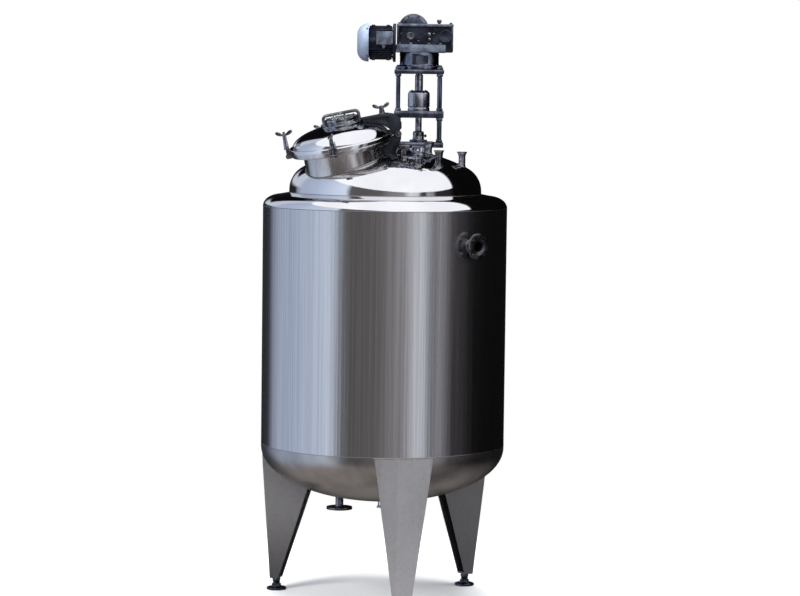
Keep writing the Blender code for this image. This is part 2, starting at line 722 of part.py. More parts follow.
def build_lid(sheet, dark, glass):
    place = manhole_place(HINGE_ANGLE)
    outer = lid_outline(0.0)
    outer[0] = (LID_RADIUS, GAP)
    under = [LID_MOUTH * math.cos(t) for t in np.linspace(0.0, math.pi / 2, 5)]
    inner = [(LID_MOUTH, GAP)]
    inner += [(radius, lid_height(radius) - LID_SHEET) for radius in under[:-1]]
    inner += [(0.0, LID_RIM + LID_DOME - LID_SHEET)]
    lid = turned("manhole_lid", outer + inner[::-1], NECK_SIDES, sheet, place)
    for side, angle in BOLT_ANGLES.items():
        lug_place = manhole_place(angle)
        half = TINE_SPAN / 2
        low = (LID_RADIUS - 0.008, -half, TINE_BOTTOM)
        weld(lid, block("tine_" + side, low, (TINE_REACH, half, TINE_TOP), None, lug_place))
        slot_low = (LID_RADIUS + 0.002, -TINE_SLOT / 2, -0.01)
        slot_high = (TINE_REACH + 0.01, TINE_SLOT / 2, LID_RIM + 0.01)
        cut(lid, block("tine_slot_" + side, slot_low, slot_high, None, lug_place))
    drum_place = manhole_place(HINGE_ANGLE, DRUM_SHIFT)
    cut(lid, cylinder_tool("drum_hole", DRUM_BORE, -0.02, DRUM_TOP, ROUND_SIDES, drum_place))

    low = LID_RIM + LID_DOME / 2
    drum_outline = [
        (DRUM_BORE, low), (DRUM_FLANGE, low), (DRUM_FLANGE, DRUM_FLANGE_TOP),
        (DRUM_RADIUS, DRUM_FLANGE_TOP), (DRUM_RADIUS, DRUM_TOP), (GLASS_RADIUS, DRUM_TOP),
        (GLASS_RADIUS, GLASS_SEAT), (DRUM_BORE, GLASS_SEAT),
    ]
    drum = turned("sight_drum", drum_outline, ROUND_SIDES, dark, drum_place)
    cut(drum, lid_tool("drum_seat"))
    glass_outline = [
        (0.0, GLASS_SEAT + GAP), (GLASS_RADIUS - GAP, GLASS_SEAT + GAP),
        (GLASS_RADIUS - GAP, GLASS_SEAT + GLASS_THICK), (0.0, GLASS_SEAT + GLASS_THICK),
    ]
    pane = turned("sight_glass", glass_outline, ROUND_SIDES, glass, drum_place)
    return lid, drum, pane


def build_handle(dark):
    """Round bar bent over the sight glass, standing on the drum's flange."""
    low = DRUM_FLANGE_TOP + GAP
    turns = np.radians([0, 22.5, 45, 67.5, 90])
    bend = [(HANDLE_CORNER * (1 - math.cos(t)), HANDLE_CORNER * math.sin(t)) for t in turns]
    start = HANDLE_TOP - HANDLE_CORNER
    path = [(-HANDLE_REACH, low)] + [(-HANDLE_REACH + x, start + z) for x, z in bend]
    path += [(HANDLE_REACH - x, start + z) for x, z in reversed(bend)] + [(HANDLE_REACH, low)]
    place = manhole_place(HINGE_ANGLE, DRUM_SHIFT)
    return swept_bar("lid_handle", path, HANDLE_RADIUS, 10, dark, place)


def build_hinge_arm(dark):
    """Deep bar from the drum over the lid's rim to a fork around the bracket's eye."""
    place = manhole_place(HINGE_ANGLE, HINGE_REACH)
    drum_side = HINGE_REACH - DRUM_SHIFT - DRUM_FLANGE - GAP
    turns = np.radians(np.linspace(60, -150, 11))
    outline = [(HINGE_EYE * math.cos(t), HINGE_EYE * math.sin(t)) for t in turns]
    outline += [(-0.0262, 0.002), (-0.034, 0.030), (-0.060, 0.038), (-drum_side, 0.038)]
    outline += [(-drum_side, ARM_TOP), (-0.030, ARM_TOP), (0.002, 0.099), (0.022, 0.078)]
    outline += [(0.027, 0.050), (0.022, 0.024)]
    arm = prism("hinge_arm", outline, FORK_WIDTH, dark, place)
    outward, sideways, upward = manhole_axes(HINGE_ANGLE)
    pin = MANHOLE_CENTRE + outward * HINGE_REACH
    pin_place = frame_at(pin, upward, outward, sideways)
    half = FORK_SLOT / 2
    cut(arm, cylinder_tool("fork_slot", HINGE_EYE + FORK_CLEAR, -half, half, ROUND_SIDES, pin_place))
    cut(arm, cylinder_tool("fork_bore", HINGE_PIN + 0.0007, -0.05, 0.05, PIPE_SIDES, pin_place))
    cut(arm, lid_tool("arm_seat"))
    cut(arm, cylinder_tool("drum_clearance", DRUM_FLANGE + GAP, 0.0, 0.2, ROUND_SIDES,
                           manhole_place(HINGE_ANGLE, DRUM_SHIFT)))
    return arm


def wing_shape(name, low, top, hub, finish, place, turn):
    """A tapered hub with two flat wings at its top, turned by an angle about local Z."""
    turned_place = place @ Matrix.Rotation(math.radians(turn), 4, "Z")
    root = top - WING_RISE
    waist = hub * 0.7
    middle = top - WING_RISE * 0.55
    outline = [(0.0, low), (hub, low), (waist, root), (waist, middle), (0.0, middle)]
    item = turned(name, outline, PIPE_SIDES, finish, turned_place)
    tip = WING_SPAN / 2
    right = [
        (waist * 0.6, root - 0.004), (tip * 0.65, root + WING_RISE * 0.22),
        (tip, root + WING_RISE * 0.62), (tip * 0.90, top), (tip * 0.52, top - WING_RISE * 0.28),
        (waist * 0.6, root + WING_RISE * 0.36),
    ]
    wing_line = right + [(-x, z) for x, z in reversed(right)]
    weld(item, prism(name + "_wings", wing_line, WING_THICK, None, turned_place))
    return item


def build_arm_screw(dark):
    place = manhole_place(HINGE_ANGLE, HINGE_REACH - SCREW_SETBACK)
    return wing_shape("arm_screw", ARM_TOP + GAP, SCREW_TOP, 0.015, dark, place, -HINGE_ANGLE)


def build_swing_bolt(side, angle, dark, polished):
    outward, sideways, upward = manhole_axes(angle)
    place = manhole_place(angle, BOLT_REACH)
    pivot = MANHOLE_CENTRE + outward * BOLT_REACH + upward * BOLT_PIVOT
    eye_place = frame_at(pivot, upward, outward, sideways)
    half = BOLT_EYE_WIDTH / 2
    top = NUT_TOPS[side]
    bolt = cylinder_tool("swing_bolt_" + side, BOLT_EYE, -half, half, ROUND_SIDES, eye_place)
    bolt.data.materials.append(dark)
    weld(bolt, cylinder_tool("bolt_rod_" + side, BOLT_RADIUS, BOLT_PIVOT + 0.004,
                             top - NUT_ABOVE_ROD, PIPE_SIDES, place))
    cut(bolt, cylinder_tool("bolt_bore_" + side, LUG_PIN + 0.0005, -0.03, 0.03, PIPE_SIDES,
                            eye_place))
    nut = wing_shape("wing_nut_" + side, TINE_TOP + GAP, top, NUT_RADIUS, polished, place,
                     WING_TURNS[side] - angle)
    cut(nut, cylinder_tool("nut_bore_" + side, BOLT_RADIUS + GAP, 0.0, top, PIPE_SIDES, place))
    hang_on(axis_empty("bolt_axis_" + side, eye_place), bolt, nut)


def build_manhole(sheet, polished, dark, glass):
    build_neck(sheet)
    build_hinge_bracket(dark)
    lid, drum, pane = build_lid(sheet, dark, glass)
    handle = build_handle(dark)
    arm = build_hinge_arm(dark)
    screw = build_arm_screw(dark)
    hinge_axis = axis_empty("lid_hinge_axis", manhole_place(HINGE_ANGLE, HINGE_REACH))
    hang_on(hinge_axis, lid, drum, pane, handle, arm, screw)
    for side, angle in BOLT_ANGLES.items():
        build_swing_bolt(side, angle, dark, polished)


def square_plate(name, low, thick, finish, holes, centre_hole):
    """Square plate around the mixer's axis, with a centre hole and holes for the posts."""
    half = PLATE_SIDE / 2
    place = Matrix.Translation((MIXER_X, MIXER_Y, 0.0))
    plate = block(name, (-half, -half, low), (half, half, low + thick), finish, place, 0.003)
    cut(plate, cylinder_tool(name + "_hole", centre_hole, low - 0.02, low + thick + 0.02,
                             PIPE_SIDES, place))
    if holes:
        for x, y in post_places():
            hole_place = Matrix.Translation((x, y, 0.0))
            cut(plate, cylinder_tool(f"{name}_post_hole_{x:.3f}_{y:.3f}", POST_RADIUS + GAP,
                                     low - 0.02, low + thick + 0.02, PIPE_SIDES, hole_place))
    return plate


def post_places():
    signs = ((-1, -1), (1, -1), (1, 1), (-1, 1))
    return [(MIXER_X + sx * POST_OFFSET, MIXER_Y + sy * POST_OFFSET) for sx, sy in signs]


def build_drive_frame(sheet, dark, polished):
    place = Matrix.Translation((MIXER_X, MIXER_Y, 0.0))
    bore = DRIVE_NECK_RADIUS - DRIVE_NECK_WALL
    neck_outline = [
        (bore, DRIVE_NECK_LOW), (DRIVE_NECK_RADIUS, DRIVE_NECK_LOW),
        (DRIVE_NECK_RADIUS, BASE_Z - GAP), (bore, BASE_Z - GAP),
    ]
    neck = turned("drive_neck", neck_outline, ROUND_SIDES, sheet, place)
    cut(neck, roof_tool("drive_neck_seat"))

    square_plate("drive_base", BASE_Z, BASE_THICK, dark, False, SHAFT_BORE)
    base_top = BASE_Z + BASE_THICK
    names = ("front_left", "front_right", "back_right", "back_left")
    for side, (x, y) in zip(names, post_places()):
        post = cylinder_tool("post_" + side, POST_RADIUS, base_top + GAP, TOP_PLATE_Z - GAP,
                             PIPE_SIDES, Matrix.Translation((x, y, 0.0)))
        post.data.materials.append(polished)

    low = base_top + GAP
    seal_outline = [
        (SHAFT_BORE, low), (SEAL_FLANGE, low), (SEAL_FLANGE, low + SEAL_FLANGE_THICK),
        (SEAL_RADIUS, low + SEAL_FLANGE_THICK), (SEAL_RADIUS, SEAL_TOP - 0.006),
        (SEAL_RADIUS - 0.0045, SEAL_TOP), (SHAFT_BORE, SEAL_TOP),
    ]
    turned("seal_housing", seal_outline, PIPE_SIDES, polished, place)
    square_plate("bearing_plate", BEARING_PLATE_Z, BEARING_PLATE_THICK, dark, True, SHAFT_BORE)
    low = BEARING_PLATE_Z + BEARING_PLATE_THICK + GAP
    bearing_outline = [
        (SHAFT_BORE, low), (BEARING_RADIUS, low), (BEARING_RADIUS, BEARING_TOP - 0.012),
        (0.044, BEARING_TOP), (SHAFT_BORE, BEARING_TOP),
    ]
    turned("bearing_housing", bearing_outline, ROUND_SIDES, polished, place)
    square_plate("top_plate", TOP_PLATE_Z, TOP_PLATE_THICK, dark, False, SHAFT_BORE)
    low = TOP_PLATE_Z + TOP_PLATE_THICK + GAP
    lantern_outline = [
        (0.0, low), (LANTERN_FLANGE, low), (LANTERN_FLANGE, low + LANTERN_FLANGE_THICK),
        (LANTERN_RADIUS, low + LANTERN_FLANGE_THICK), (LANTERN_RADIUS, LANTERN_TOP),
        (0.0, LANTERN_TOP),
    ]
    turned("lantern", lantern_outline, ROUND_SIDES, dark, place)


def build_drive_unit(dark, cowl_finish):
    low = LANTERN_TOP + GAP
    front = MIXER_Y - GEAR_DEPTH / 2
    back = MIXER_Y + GEAR_DEPTH / 2
    gear = block("gear_case", (GEAR_LEFT, front, low + 0.002), (GEAR_RIGHT, back, GEAR_TOP), dark,
                 None, 0.006)
    weld(gear, block("gear_flange", (GEAR_LEFT - MOTOR_SEAT, front - GEAR_FLANGE_LIP, low),
                     (GEAR_RIGHT - 0.035, back + GEAR_FLANGE_LIP, low + GEAR_FLANGE), None))
    hump_place = frame_at((HUMP_X, MIXER_Y, HUMP_Z), Vector((1, 0, 0)), Vector((0, 0, 1)),
                          Vector((0, -1, 0)))
    weld(gear, cylinder_tool("gear_hump", HUMP_RADIUS, -HUMP_HALF, HUMP_HALF, ROUND_SIDES, hump_place))
    for name, x, radius, proud in (("end_cover", COVER_X, COVER_RADIUS, COVER_PROUD),
                                   ("plug", PLUG_X, PLUG_RADIUS, PLUG_PROUD)):
        disc_place = frame_at((x, front, COVER_Z), Vector((1, 0, 0)), Vector((0, 0, 1)),
                              Vector((0, -1, 0)))
        weld(gear, cylinder_tool(name, radius, -0.02, proud, ROUND_SIDES, disc_place))

    motor_place = frame_at((0.0, MIXER_Y, MOTOR_Z), Vector((0, 1, 0)), Vector((0, 0, 1)),
                           Vector((1, 0, 0)))
    face = GEAR_LEFT - MOTOR_SEAT - GAP
    motor_outline = [
        (0.0, MOTOR_BACK), (MOTOR_RADIUS, MOTOR_BACK), (MOTOR_RADIUS, face - MOTOR_FLANGE_THICK),
        (MOTOR_FLANGE, face - MOTOR_FLANGE_THICK), (MOTOR_FLANGE, face), (0.0, face),
    ]
    turned("motor_body", motor_outline, ROUND_SIDES, dark, motor_place)
    cowl_outline = [
        (0.0, COWL_END), (0.062, COWL_END), (0.084, COWL_END + 0.010),
        (COWL_RADIUS, COWL_END + 0.030), (COWL_RADIUS, MOTOR_BACK - GAP), (0.0, MOTOR_BACK - GAP),
    ]
    turned("fan_cowl", cowl_outline, ROUND_SIDES, cowl_finish, motor_place)
    box = block("terminal_box", BOX_LOW, BOX_HIGH, dark, None, 0.004)
    cut(box, cylinder_tool("box_seat", MOTOR_RADIUS + GAP, -0.2, 0.1, ROUND_SIDES, motor_place))


def build_mixer(polished):
    place = Matrix.Translation((MIXER_X, MIXER_Y, 0.0))
    collar_low = BEARING_TOP + 0.0006
    collar_high = TOP_PLATE_Z - 0.005
    shaft_top = TOP_PLATE_Z + TOP_PLATE_THICK - 0.0005
    shaft_outline = [
        (0.0, SHAFT_FOOT), (SHAFT_RADIUS, SHAFT_FOOT), (SHAFT_RADIUS, collar_low),
        (COLLAR_RADIUS, collar_low), (COLLAR_RADIUS, collar_high), (SHAFT_RADIUS, collar_high),
        (SHAFT_RADIUS, shaft_top), (0.0, shaft_top),
    ]
    shaft = turned("mixer_shaft", shaft_outline, PIPE_SIDES, polished, place)

    hub_outline = [
        (SHAFT_RADIUS + GAP, HUB_BOTTOM), (HUB_RADIUS, HUB_BOTTOM), (HUB_RADIUS, HUB_TOP),
        (SHAFT_RADIUS + GAP, HUB_TOP),
    ]
    propeller = turned("propeller", hub_outline, PIPE_SIDES, polished, place)
    middle = (HUB_BOTTOM + HUB_TOP) / 2
    for blade in range(3):
        blade_place = place @ Matrix.Translation((0, 0, middle))
        blade_place = blade_place @ Matrix.Rotation(math.radians(120 * blade), 4, "Z")
        blade_place = blade_place @ Matrix.Rotation(math.radians(BLADE_PITCH), 4, "X")
        low = (HUB_RADIUS - 0.006, -BLADE_WIDTH / 2, -BLADE_THICK / 2)
        high = (BLADE_TIP, BLADE_WIDTH / 2, BLADE_THICK / 2)
        weld(propeller, block(f"blade_{blade}", low, high, None, blade_place))
    hang_on(axis_empty("mixer_axis", place), shaft, propeller)


def build_tank():
    clear_scene()
    sheet = make_finish("brushed_stainless", (0.62, 0.62, 0.64), 1.0, 0.28)
    polished = make_finish("polished_stainless", (0.70, 0.70, 0.72), 1.0, 0.14)
    dark = make_finish("dark_casting", (0.045, 0.050, 0.060), 0.6, 0.42)
    cowl_finish = make_finish("cowl_grey_blue", (0.55, 0.62, 0.74), 0.3, 0.40)
    glass = make_finish("sight_glass", (0.80, 0.88, 0.90), 0.0, 0.05, 0.35)
    shell, dish = build_cladding(sheet)
    bottom, roof = build_vessel(sheet)
    build_roof_nozzles(roof, polished)
    build_closures(polished, dark)
    build_body_nozzles(shell, dish, bottom, polished)
    build_legs(sheet, polished)
    build_manhole(sheet, polished, dark, glass)
    build_drive_frame(sheet, dark, polished)
    build_drive_unit(dark, cowl_finish)
    build_mixer(polished)


build_tank()
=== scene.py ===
import math

import bmesh
import bpy
import numpy as np
from mathutils import Matrix, Vector


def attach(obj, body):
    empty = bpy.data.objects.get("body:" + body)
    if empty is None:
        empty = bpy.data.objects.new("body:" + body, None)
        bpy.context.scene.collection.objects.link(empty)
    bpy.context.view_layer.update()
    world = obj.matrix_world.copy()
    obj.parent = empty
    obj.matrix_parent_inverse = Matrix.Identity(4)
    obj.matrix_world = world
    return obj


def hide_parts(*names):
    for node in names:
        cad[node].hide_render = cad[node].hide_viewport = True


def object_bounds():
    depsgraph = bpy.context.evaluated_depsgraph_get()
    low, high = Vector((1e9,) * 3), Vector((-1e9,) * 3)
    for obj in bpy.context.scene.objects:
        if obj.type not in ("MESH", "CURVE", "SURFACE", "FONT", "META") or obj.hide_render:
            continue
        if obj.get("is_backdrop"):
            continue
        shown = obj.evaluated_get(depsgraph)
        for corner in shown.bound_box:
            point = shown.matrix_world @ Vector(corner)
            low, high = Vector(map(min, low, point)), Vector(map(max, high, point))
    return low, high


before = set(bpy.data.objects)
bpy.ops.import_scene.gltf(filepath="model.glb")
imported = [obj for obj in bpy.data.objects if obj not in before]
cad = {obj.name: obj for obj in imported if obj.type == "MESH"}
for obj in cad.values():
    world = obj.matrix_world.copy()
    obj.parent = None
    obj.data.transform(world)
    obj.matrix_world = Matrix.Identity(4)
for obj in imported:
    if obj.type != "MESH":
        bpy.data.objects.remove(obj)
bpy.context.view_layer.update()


# Camera: a long lens at the height of the lid, level with the tank's middle and looking
# down a little, as the photograph was taken.
LENS_PIXELS = 2705.0
MIDDLE_ROW, LEVEL_ROW = 298.0, 96.2
down = math.atan((MIDDLE_ROW - LEVEL_ROW) / LENS_PIXELS)
camera = bpy.data.objects.new("camera", bpy.data.cameras.new("camera"))
camera.data.sensor_width = 36.0
camera.data.lens = LENS_PIXELS / 800.0 * 36.0
camera.data.clip_end = 100.0
aim = Matrix.Rotation(math.pi / 2 - down, 4, "X") @ Matrix.Rotation(math.radians(0.7), 4, "Z")
camera.matrix_world = Matrix.Translation((0.08, -13.5, 2.521)) @ aim
bpy.context.scene.collection.objects.link(camera)
bpy.context.scene.camera = camera


# Finishes: node trees are written as sums and products of wires, and most finishes are one
# colour and roughness worked over by noise.
class Wire:
    """A node socket. Sums of wires and numbers, such as 1 - a * b, add their Math nodes."""

    def __init__(self, tree, socket=None):
        self.tree = tree
        self.socket = socket

    def node(self, kind, settings=None, out=0, **plugs):
        """Add a node: its settings come first, then its sockets, _0 being the first."""
        made = self.tree.nodes.new("ShaderNode" + kind)
        settings = dict(settings or {})
        stops = settings.pop("stops", None)
        for key, value in settings.items():
            setattr(made, key, value)
        if stops:
            ramp = made.color_ramp.elements
            while len(ramp) < len(stops):
                ramp.new(0.5)
            for step, (place, colour) in zip(ramp, stops):
                step.position = place
                step.color = (*colour, 1.0)
        for key, value in plugs.items():
            socket = made.inputs[int(key[1:]) if key[1:].isdigit() else key.replace("_", " ")]
            if isinstance(value, Wire):
                self.tree.links.new(value.socket, socket)
            else:
                socket.default_value = value
        return Wire(self.tree, made.outputs[out])

    def maths(self, operation, *values):
        plugs = {f"_{place}": value for place, value in enumerate(values)}
        return self.node("Math", {"operation": operation}, **plugs)

    def __add__(self, other):
        return self.maths("ADD", self, other)

    __radd__ = __add__

    def __mul__(self, other):
        return self.maths("MULTIPLY", self, other)

    def __rsub__(self, other):
        return self.maths("SUBTRACT", other, self)

    def within(self, low, high):
        """0 below low, 1 above high, and a smooth rise between them."""
        return self.node("MapRange", {"interpolation_type": "SMOOTHSTEP"}, Value=self,
            From_Min=low, From_Max=high)

    def plug(self, node, name):
        self.tree.links.new(self.socket, node.inputs[name])


def finish(name, colour, metallic, roughness, **constants):
    """A Principled material with its constants set, and a wire of the object's coordinates."""
    made = bpy.data.materials.new(name)
    made.use_nodes = True
    shader = made.node_tree.nodes["Principled BSDF"]
    constants.update(Base_Color=(*colour, 1.0), Metallic=metallic, Roughness=roughness)
    for key, value in constants.items():
        shader.inputs[key.replace("_", " ")].default_value = value
    place = Wire(made.node_tree).node("TexCoord", out=3)
    return made, shader, place


def stretched(place, scale, detail=3.0, roughness=0.55):
    """Noise whose grain is drawn out: scale squeezes it along each axis, or along all alike."""
    axes = scale if isinstance(scale, tuple) else (scale,) * 3
    squeezed = place.node("Mapping", Vector=place, Scale=axes)
    return place.node("TexNoise", Vector=squeezed, Scale=1.0, Detail=detail, Roughness=roughness)


def tint(share, dark, light):
    """Colour between two, by a share from 0 to 1."""
    return share.node("ValToRGB", {"stops": [(0.0, dark), (1.0, light)]}, Fac=share)


def raised(height, shader, distance):
    """Feed a height to the shader's Normal as a bump that deep, in metres."""
    height.node("Bump", Height=height, Distance=distance, Strength=1.0).plug(shader, "Normal")


def weighed(noises, weights, total=0.0):
    """The noises' sum by their weights, on top of a total."""
    for noise, weight in zip(noises, weights):
        total = total + noise * weight
    return total


def grained(name, colour, metallic, roughness, grains, tones, rough=(), bump=(), span=(),
        **constants):
    """A finish worked over by noises, each given by its scale, detail and roughness. The
    first sets the colour between two tones, and its span is stretched to the full range.
    rough is a base and a weight for each noise, bump a depth and such weights."""
    made, shader, place = finish(name, colour, metallic, roughness, **constants)
    noises = [stretched(place, *grain) for grain in grains]
    tint(noises[0].within(*span) if span else noises[0], *tones).plug(shader, "Base Color")
    if rough:
        weighed(noises, rough[1:], rough[0]).plug(shader, "Roughness")
    if bump:
        raised(weighed(noises, bump[1:]), shader, bump[0])
    return made


# Cladding shell: satin stainless sheet, rolled to a cylinder and welded up, polished round
# and round so that reflections run up and down it in fine streaks.
shell_steel = grained("shell_steel", (0.6, 0.6, 0.62), 1.0, 0.17, [((95.0, 95.0, 0.55), 6.0, 0.72),
    ((16.0, 16.0, 0.2),)], ((0.5, 0.495, 0.5), (0.7, 0.7, 0.715)), (0.12, 0.1, 0.05),
    (0.00045, 0.7, 0.6), (0.25, 0.75))


def eased(outline, radius, steps=4):
    """Round off a closed outline's corners: each becomes a short curve, drawn between points
    a radius away along both edges, with the corner as its pull."""
    line = np.asarray(outline, float)
    back, ahead = np.roll(line, 1, 0) - line, np.roll(line, -1, 0) - line
    long_back = np.linalg.norm(back, axis=1)[:, None] + 1e-12
    long_ahead = np.linalg.norm(ahead, axis=1)[:, None] + 1e-12
    bend = np.sum(back / long_back * ahead / long_ahead, axis=1)
    reach = np.minimum(radius, 0.45 * np.minimum(long_back, long_ahead))
    first, last = line + back / long_back * reach, line + ahead / long_ahead * reach
    t = np.linspace(0.0, 1.0, steps)[None, :, None]
    curve = (1 - t) ** 2 * first[:, None] + 2 * t * (1 - t) * line[:, None] + t * t * last[:, None]
    corner = (bend > -0.94) & (line[:, 0] > 1e-9)
    curve[~corner, steps // 2] = line[~corner]
    keep = corner[:, None] | (np.arange(steps) == steps // 2)[None, :]
    return curve[keep]


def lattice(rows, columns, loop=True):
    """Faces of a grid of rows times columns of points, its columns closed round. The rows
    close round too, or else each end gets a flat face."""
    r = np.arange(rows if loop else rows - 1)[:, None]
    c = np.arange(columns)[None, :]
    r2, c2 = (r + 1) % rows, (c + 1) % columns
    corners = (r * columns + c, r * columns + c2, r2 * columns + c2, r2 * columns + c)
    faces = np.stack(np.broadcast_arrays(*corners), -1).reshape(-1, 4).tolist()
    if not loop:
        last = (rows - 1) * columns
        faces += [list(range(columns))[::-1], list(range(last, last + columns))]
    return faces


def circle(count):
    """Angles of a full turn in equal steps."""
    return np.linspace(0.0, 2 * math.pi, count, endpoint=False)


def placed(points, place):
    """Points carried by a 4 x 4 matrix."""
    if place is None:
        return points
    matrix = np.array(place)
    return points @ matrix[:3, :3].T + matrix[:3, 3]


def turned(outline, place=None, sides=96, ease=0.0, steps=4):
    """Closed outline of (radius, height) carried round local Z: x = r cos a, y = r sin a."""
    line = eased(outline, ease, steps) if ease else np.asarray(outline, float)
    a = circle(sides)
    r, z = line[:, 0][:, None], line[:, 1][:, None]
    grid = np.stack([r * np.cos(a), r * np.sin(a), z + 0 * a], -1).reshape(-1, 3)
    return placed(grid, place), lattice(len(line), sides)


def rod(radius, low, high, place=None, sides=40, ease=0.0, steps=4):
    """Round bar between two heights on local Z."""
    return turned([(0, low), (radius, low), (radius, high), (0, high)], place, sides, ease, steps)


def slab(outline, low, high, edge=0.0, place=None):
    """Flat outline in local X and Y, carried from low to high, its rims rounded by drawing
    the outline in along its own normals as the rim's quarter circle closes."""
    line = np.asarray(outline, float)
    along = np.roll(line, -1, 0) - np.roll(line, 1, 0)
    normal = np.stack([along[:, 1], -along[:, 0]], 1)
    normal /= np.linalg.norm(normal, axis=1)[:, None] + 1e-12
    spread = line[:, 0] * np.roll(line[:, 1], -1) - line[:, 1] * np.roll(line[:, 0], -1)
    normal *= np.sign(spread.sum())
    t = np.linspace(0.0, math.pi / 2, 3)
    inset = np.concatenate([edge * (1 - np.sin(t)), edge * (1 - np.sin(t))[::-1]])
    height = np.concatenate([low + edge * (1 - np.cos(t)), high - edge * (1 - np.cos(t))[::-1]])
    grid = np.empty((len(inset), len(line), 3))
    grid[..., :2] = line[None] - normal[None] * inset[:, None, None]
    grid[..., 2] = height[:, None]
    return placed(grid.reshape(-1, 3), place), lattice(len(inset), len(line), False)


def tube(path, radius, sides=16, loop=False, place=None):
    """Circle carried along a path of points; its plane turns with the path's direction.
    An open tube is closed by two flat ends. The radius may differ from point to point."""
    path = np.asarray(path, float)
    along = np.roll(path, -1, 0) - np.roll(path, 1, 0) if loop else np.gradient(path, axis=0)
    along /= np.linalg.norm(along, axis=1)[:, None]
    spread = np.linalg.svd(path - path.mean(0))[2]
    guide = spread[2] if len(path) > 2 else np.cross(along[0], (0.3, 0.5, 0.8))
    first = np.cross(along, guide)
    first /= np.linalg.norm(first, axis=1)[:, None]
    second = np.cross(along, first)
    a = circle(sides)[None, :, None]
    size = np.broadcast_to(np.asarray(radius, float), (len(path),))[:, None, None]
    ring = size * (np.cos(a) * first[:, None] + np.sin(a) * second[:, None])
    return placed((path[:, None] + ring).reshape(-1, 3), place), lattice(len(path), sides, loop)


def joined(forms):
    """Several forms as one. A form is a pair of points and faces."""
    points, faces, count = [], [], 0
    for form_points, form_faces in forms:
        points.append(form_points)
        faces += [[corner + count for corner in face] for face in form_faces]
        count += len(form_points)
    return np.concatenate(points), faces


def solid(name, forms):
    """Object out of forms, with its seams and poles closed and its faces turned outward."""
    points, faces = joined(forms)
    mesh = bpy.data.meshes.new(name)
    mesh.from_pydata(points.tolist(), [], faces)
    shape = bmesh.new()
    shape.from_mesh(mesh)
    bmesh.ops.remove_doubles(shape, verts=shape.verts, dist=1e-6)
    bmesh.ops.dissolve_degenerate(shape, dist=1e-7, edges=shape.edges)
    bmesh.ops.recalc_face_normals(shape, faces=shape.faces)
    shape.to_mesh(mesh)
    shape.free()
    made = bpy.data.objects.new(name, mesh)
    bpy.context.scene.collection.objects.link(made)
    return made


CREASE = math.radians(40.0)
FINE = 144


def piece(name, forms, skin, slot=None, *stands_for, body="tank"):
    """Named object out of forms, with its finish, that rides on its body."""
    made = solid(name, forms)
    made.data.shade_smooth()
    made.data.set_sharp_from_angle(angle=CREASE)
    made.data.materials.append(skin)
    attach(made, body)
    if stands_for:
        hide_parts(*stands_for)
    return made


def bored(made, *holes):
    """Cut holes out of a piece, each a form of its own, and keep the result as mesh."""
    for hole in holes:
        drill = solid("hole", [hole])
        step = made.modifiers.new("hole", "BOOLEAN")
        step.operation = "DIFFERENCE"
        step.solver = "EXACT"
        step.object = drill
        view = bpy.context.evaluated_depsgraph_get()
        cut = bpy.data.meshes.new_from_object(made.evaluated_get(view))
        made.modifiers.clear()
        made.data = cut
        bpy.data.objects.remove(drill)
    made.data.shade_smooth()
    made.data.set_sharp_from_angle(angle=CREASE)


def axis_frame(origin, x_axis, y_axis, z_axis):
    turn = Matrix((x_axis, y_axis, z_axis)).transposed().to_4x4()
    return Matrix.Translation(origin) @ turn


UP = Vector((0, 0, 1))
SHELL = 0.609
SHEET = 0.004
SIDE_ANGLE = math.radians(43.6)
side_out = Vector((math.sin(SIDE_ANGLE), -math.cos(SIDE_ANGLE), 0.0))
side_place = axis_frame((0, 0, 1.802), UP, side_out.cross(UP), side_out)
wall = np.linspace(0.787, 1.97, 44)
shell_line = [(SHELL, z) for z in wall] + [(SHELL - SHEET, z) for z in wall[::-1]]
shell = piece("cladding", [turned(shell_line, sides=FINE)], shell_steel, "shell_steel",
    "outer_shell")
bored(shell, rod(0.0303, 0.5, 0.7, side_place, 48))


# Shoulder: a spun ring of the same steel, polished brighter, welded to the shell and
# running in flat to the roof.
polished_steel, shader, place = finish("polished_steel", (0.74, 0.74, 0.76), 1.0, 0.06)
haze = stretched(place, 5.0, detail=4.0)
rubbed = stretched(place, (40.0, 40.0, 160.0), detail=2.0)
tint(haze.within(0.3, 0.7), (0.7, 0.7, 0.72), (0.78, 0.78, 0.8)).plug(shader, "Base Color")
(0.035 + haze.within(0.35, 0.8) * 0.05 + rubbed * 0.02).plug(shader, "Roughness")
raised(haze, shader, 0.0011)


def arc(x, y, width, height, angles):
    """Points on an ellipse round a middle, at these angles."""
    return np.stack([x + width * np.cos(angles), y + height * np.sin(angles)], 1)


t = np.radians(np.linspace(0, 84, 15))
SHOULDER_IN, SHOULDER_LOW = SHELL - 0.083, 1.9703
knuckle = arc(SHOULDER_IN, SHOULDER_LOW, 0.083, 0.058, t)
under = arc(SHOULDER_IN, SHOULDER_LOW, 0.079, 0.054, t)
cover = np.array([(0.4793, 2.0382), (0.4793, 2.0342)])
piece("shoulder", [turned(np.concatenate([knuckle, cover, under[::-1]]), sides=FINE)],
    polished_steel, "polished_steel", "top_shoulder")

# Welds: low rounded beads, ground nearly flat and left a little darker, where the shell
# meets the shoulder and the bottom, and where the cover plate meets the roof.
weld_steel = grained("weld_steel", (0.3, 0.29, 0.29), 1.0, 0.32, [(260.0, 1.0)],
    ((0.16, 0.15, 0.15), (0.4, 0.38, 0.37)), bump=(0.0006, 1.0))


def round_bead(radius, height, size):
    """Thin ring of round section, centred on the surface that it is melted into."""
    return turned(arc(radius, height, size, size, circle(8)), sides=FINE)


piece("shell_welds", [round_bead(SHELL - 0.0006, 1.9702, 0.0017),
    round_bead(SHELL - 0.0006, 0.7868, 0.0014)], weld_steel)
piece("roof_weld", [round_bead(0.4795, 2.0378, 0.0022)], weld_steel)


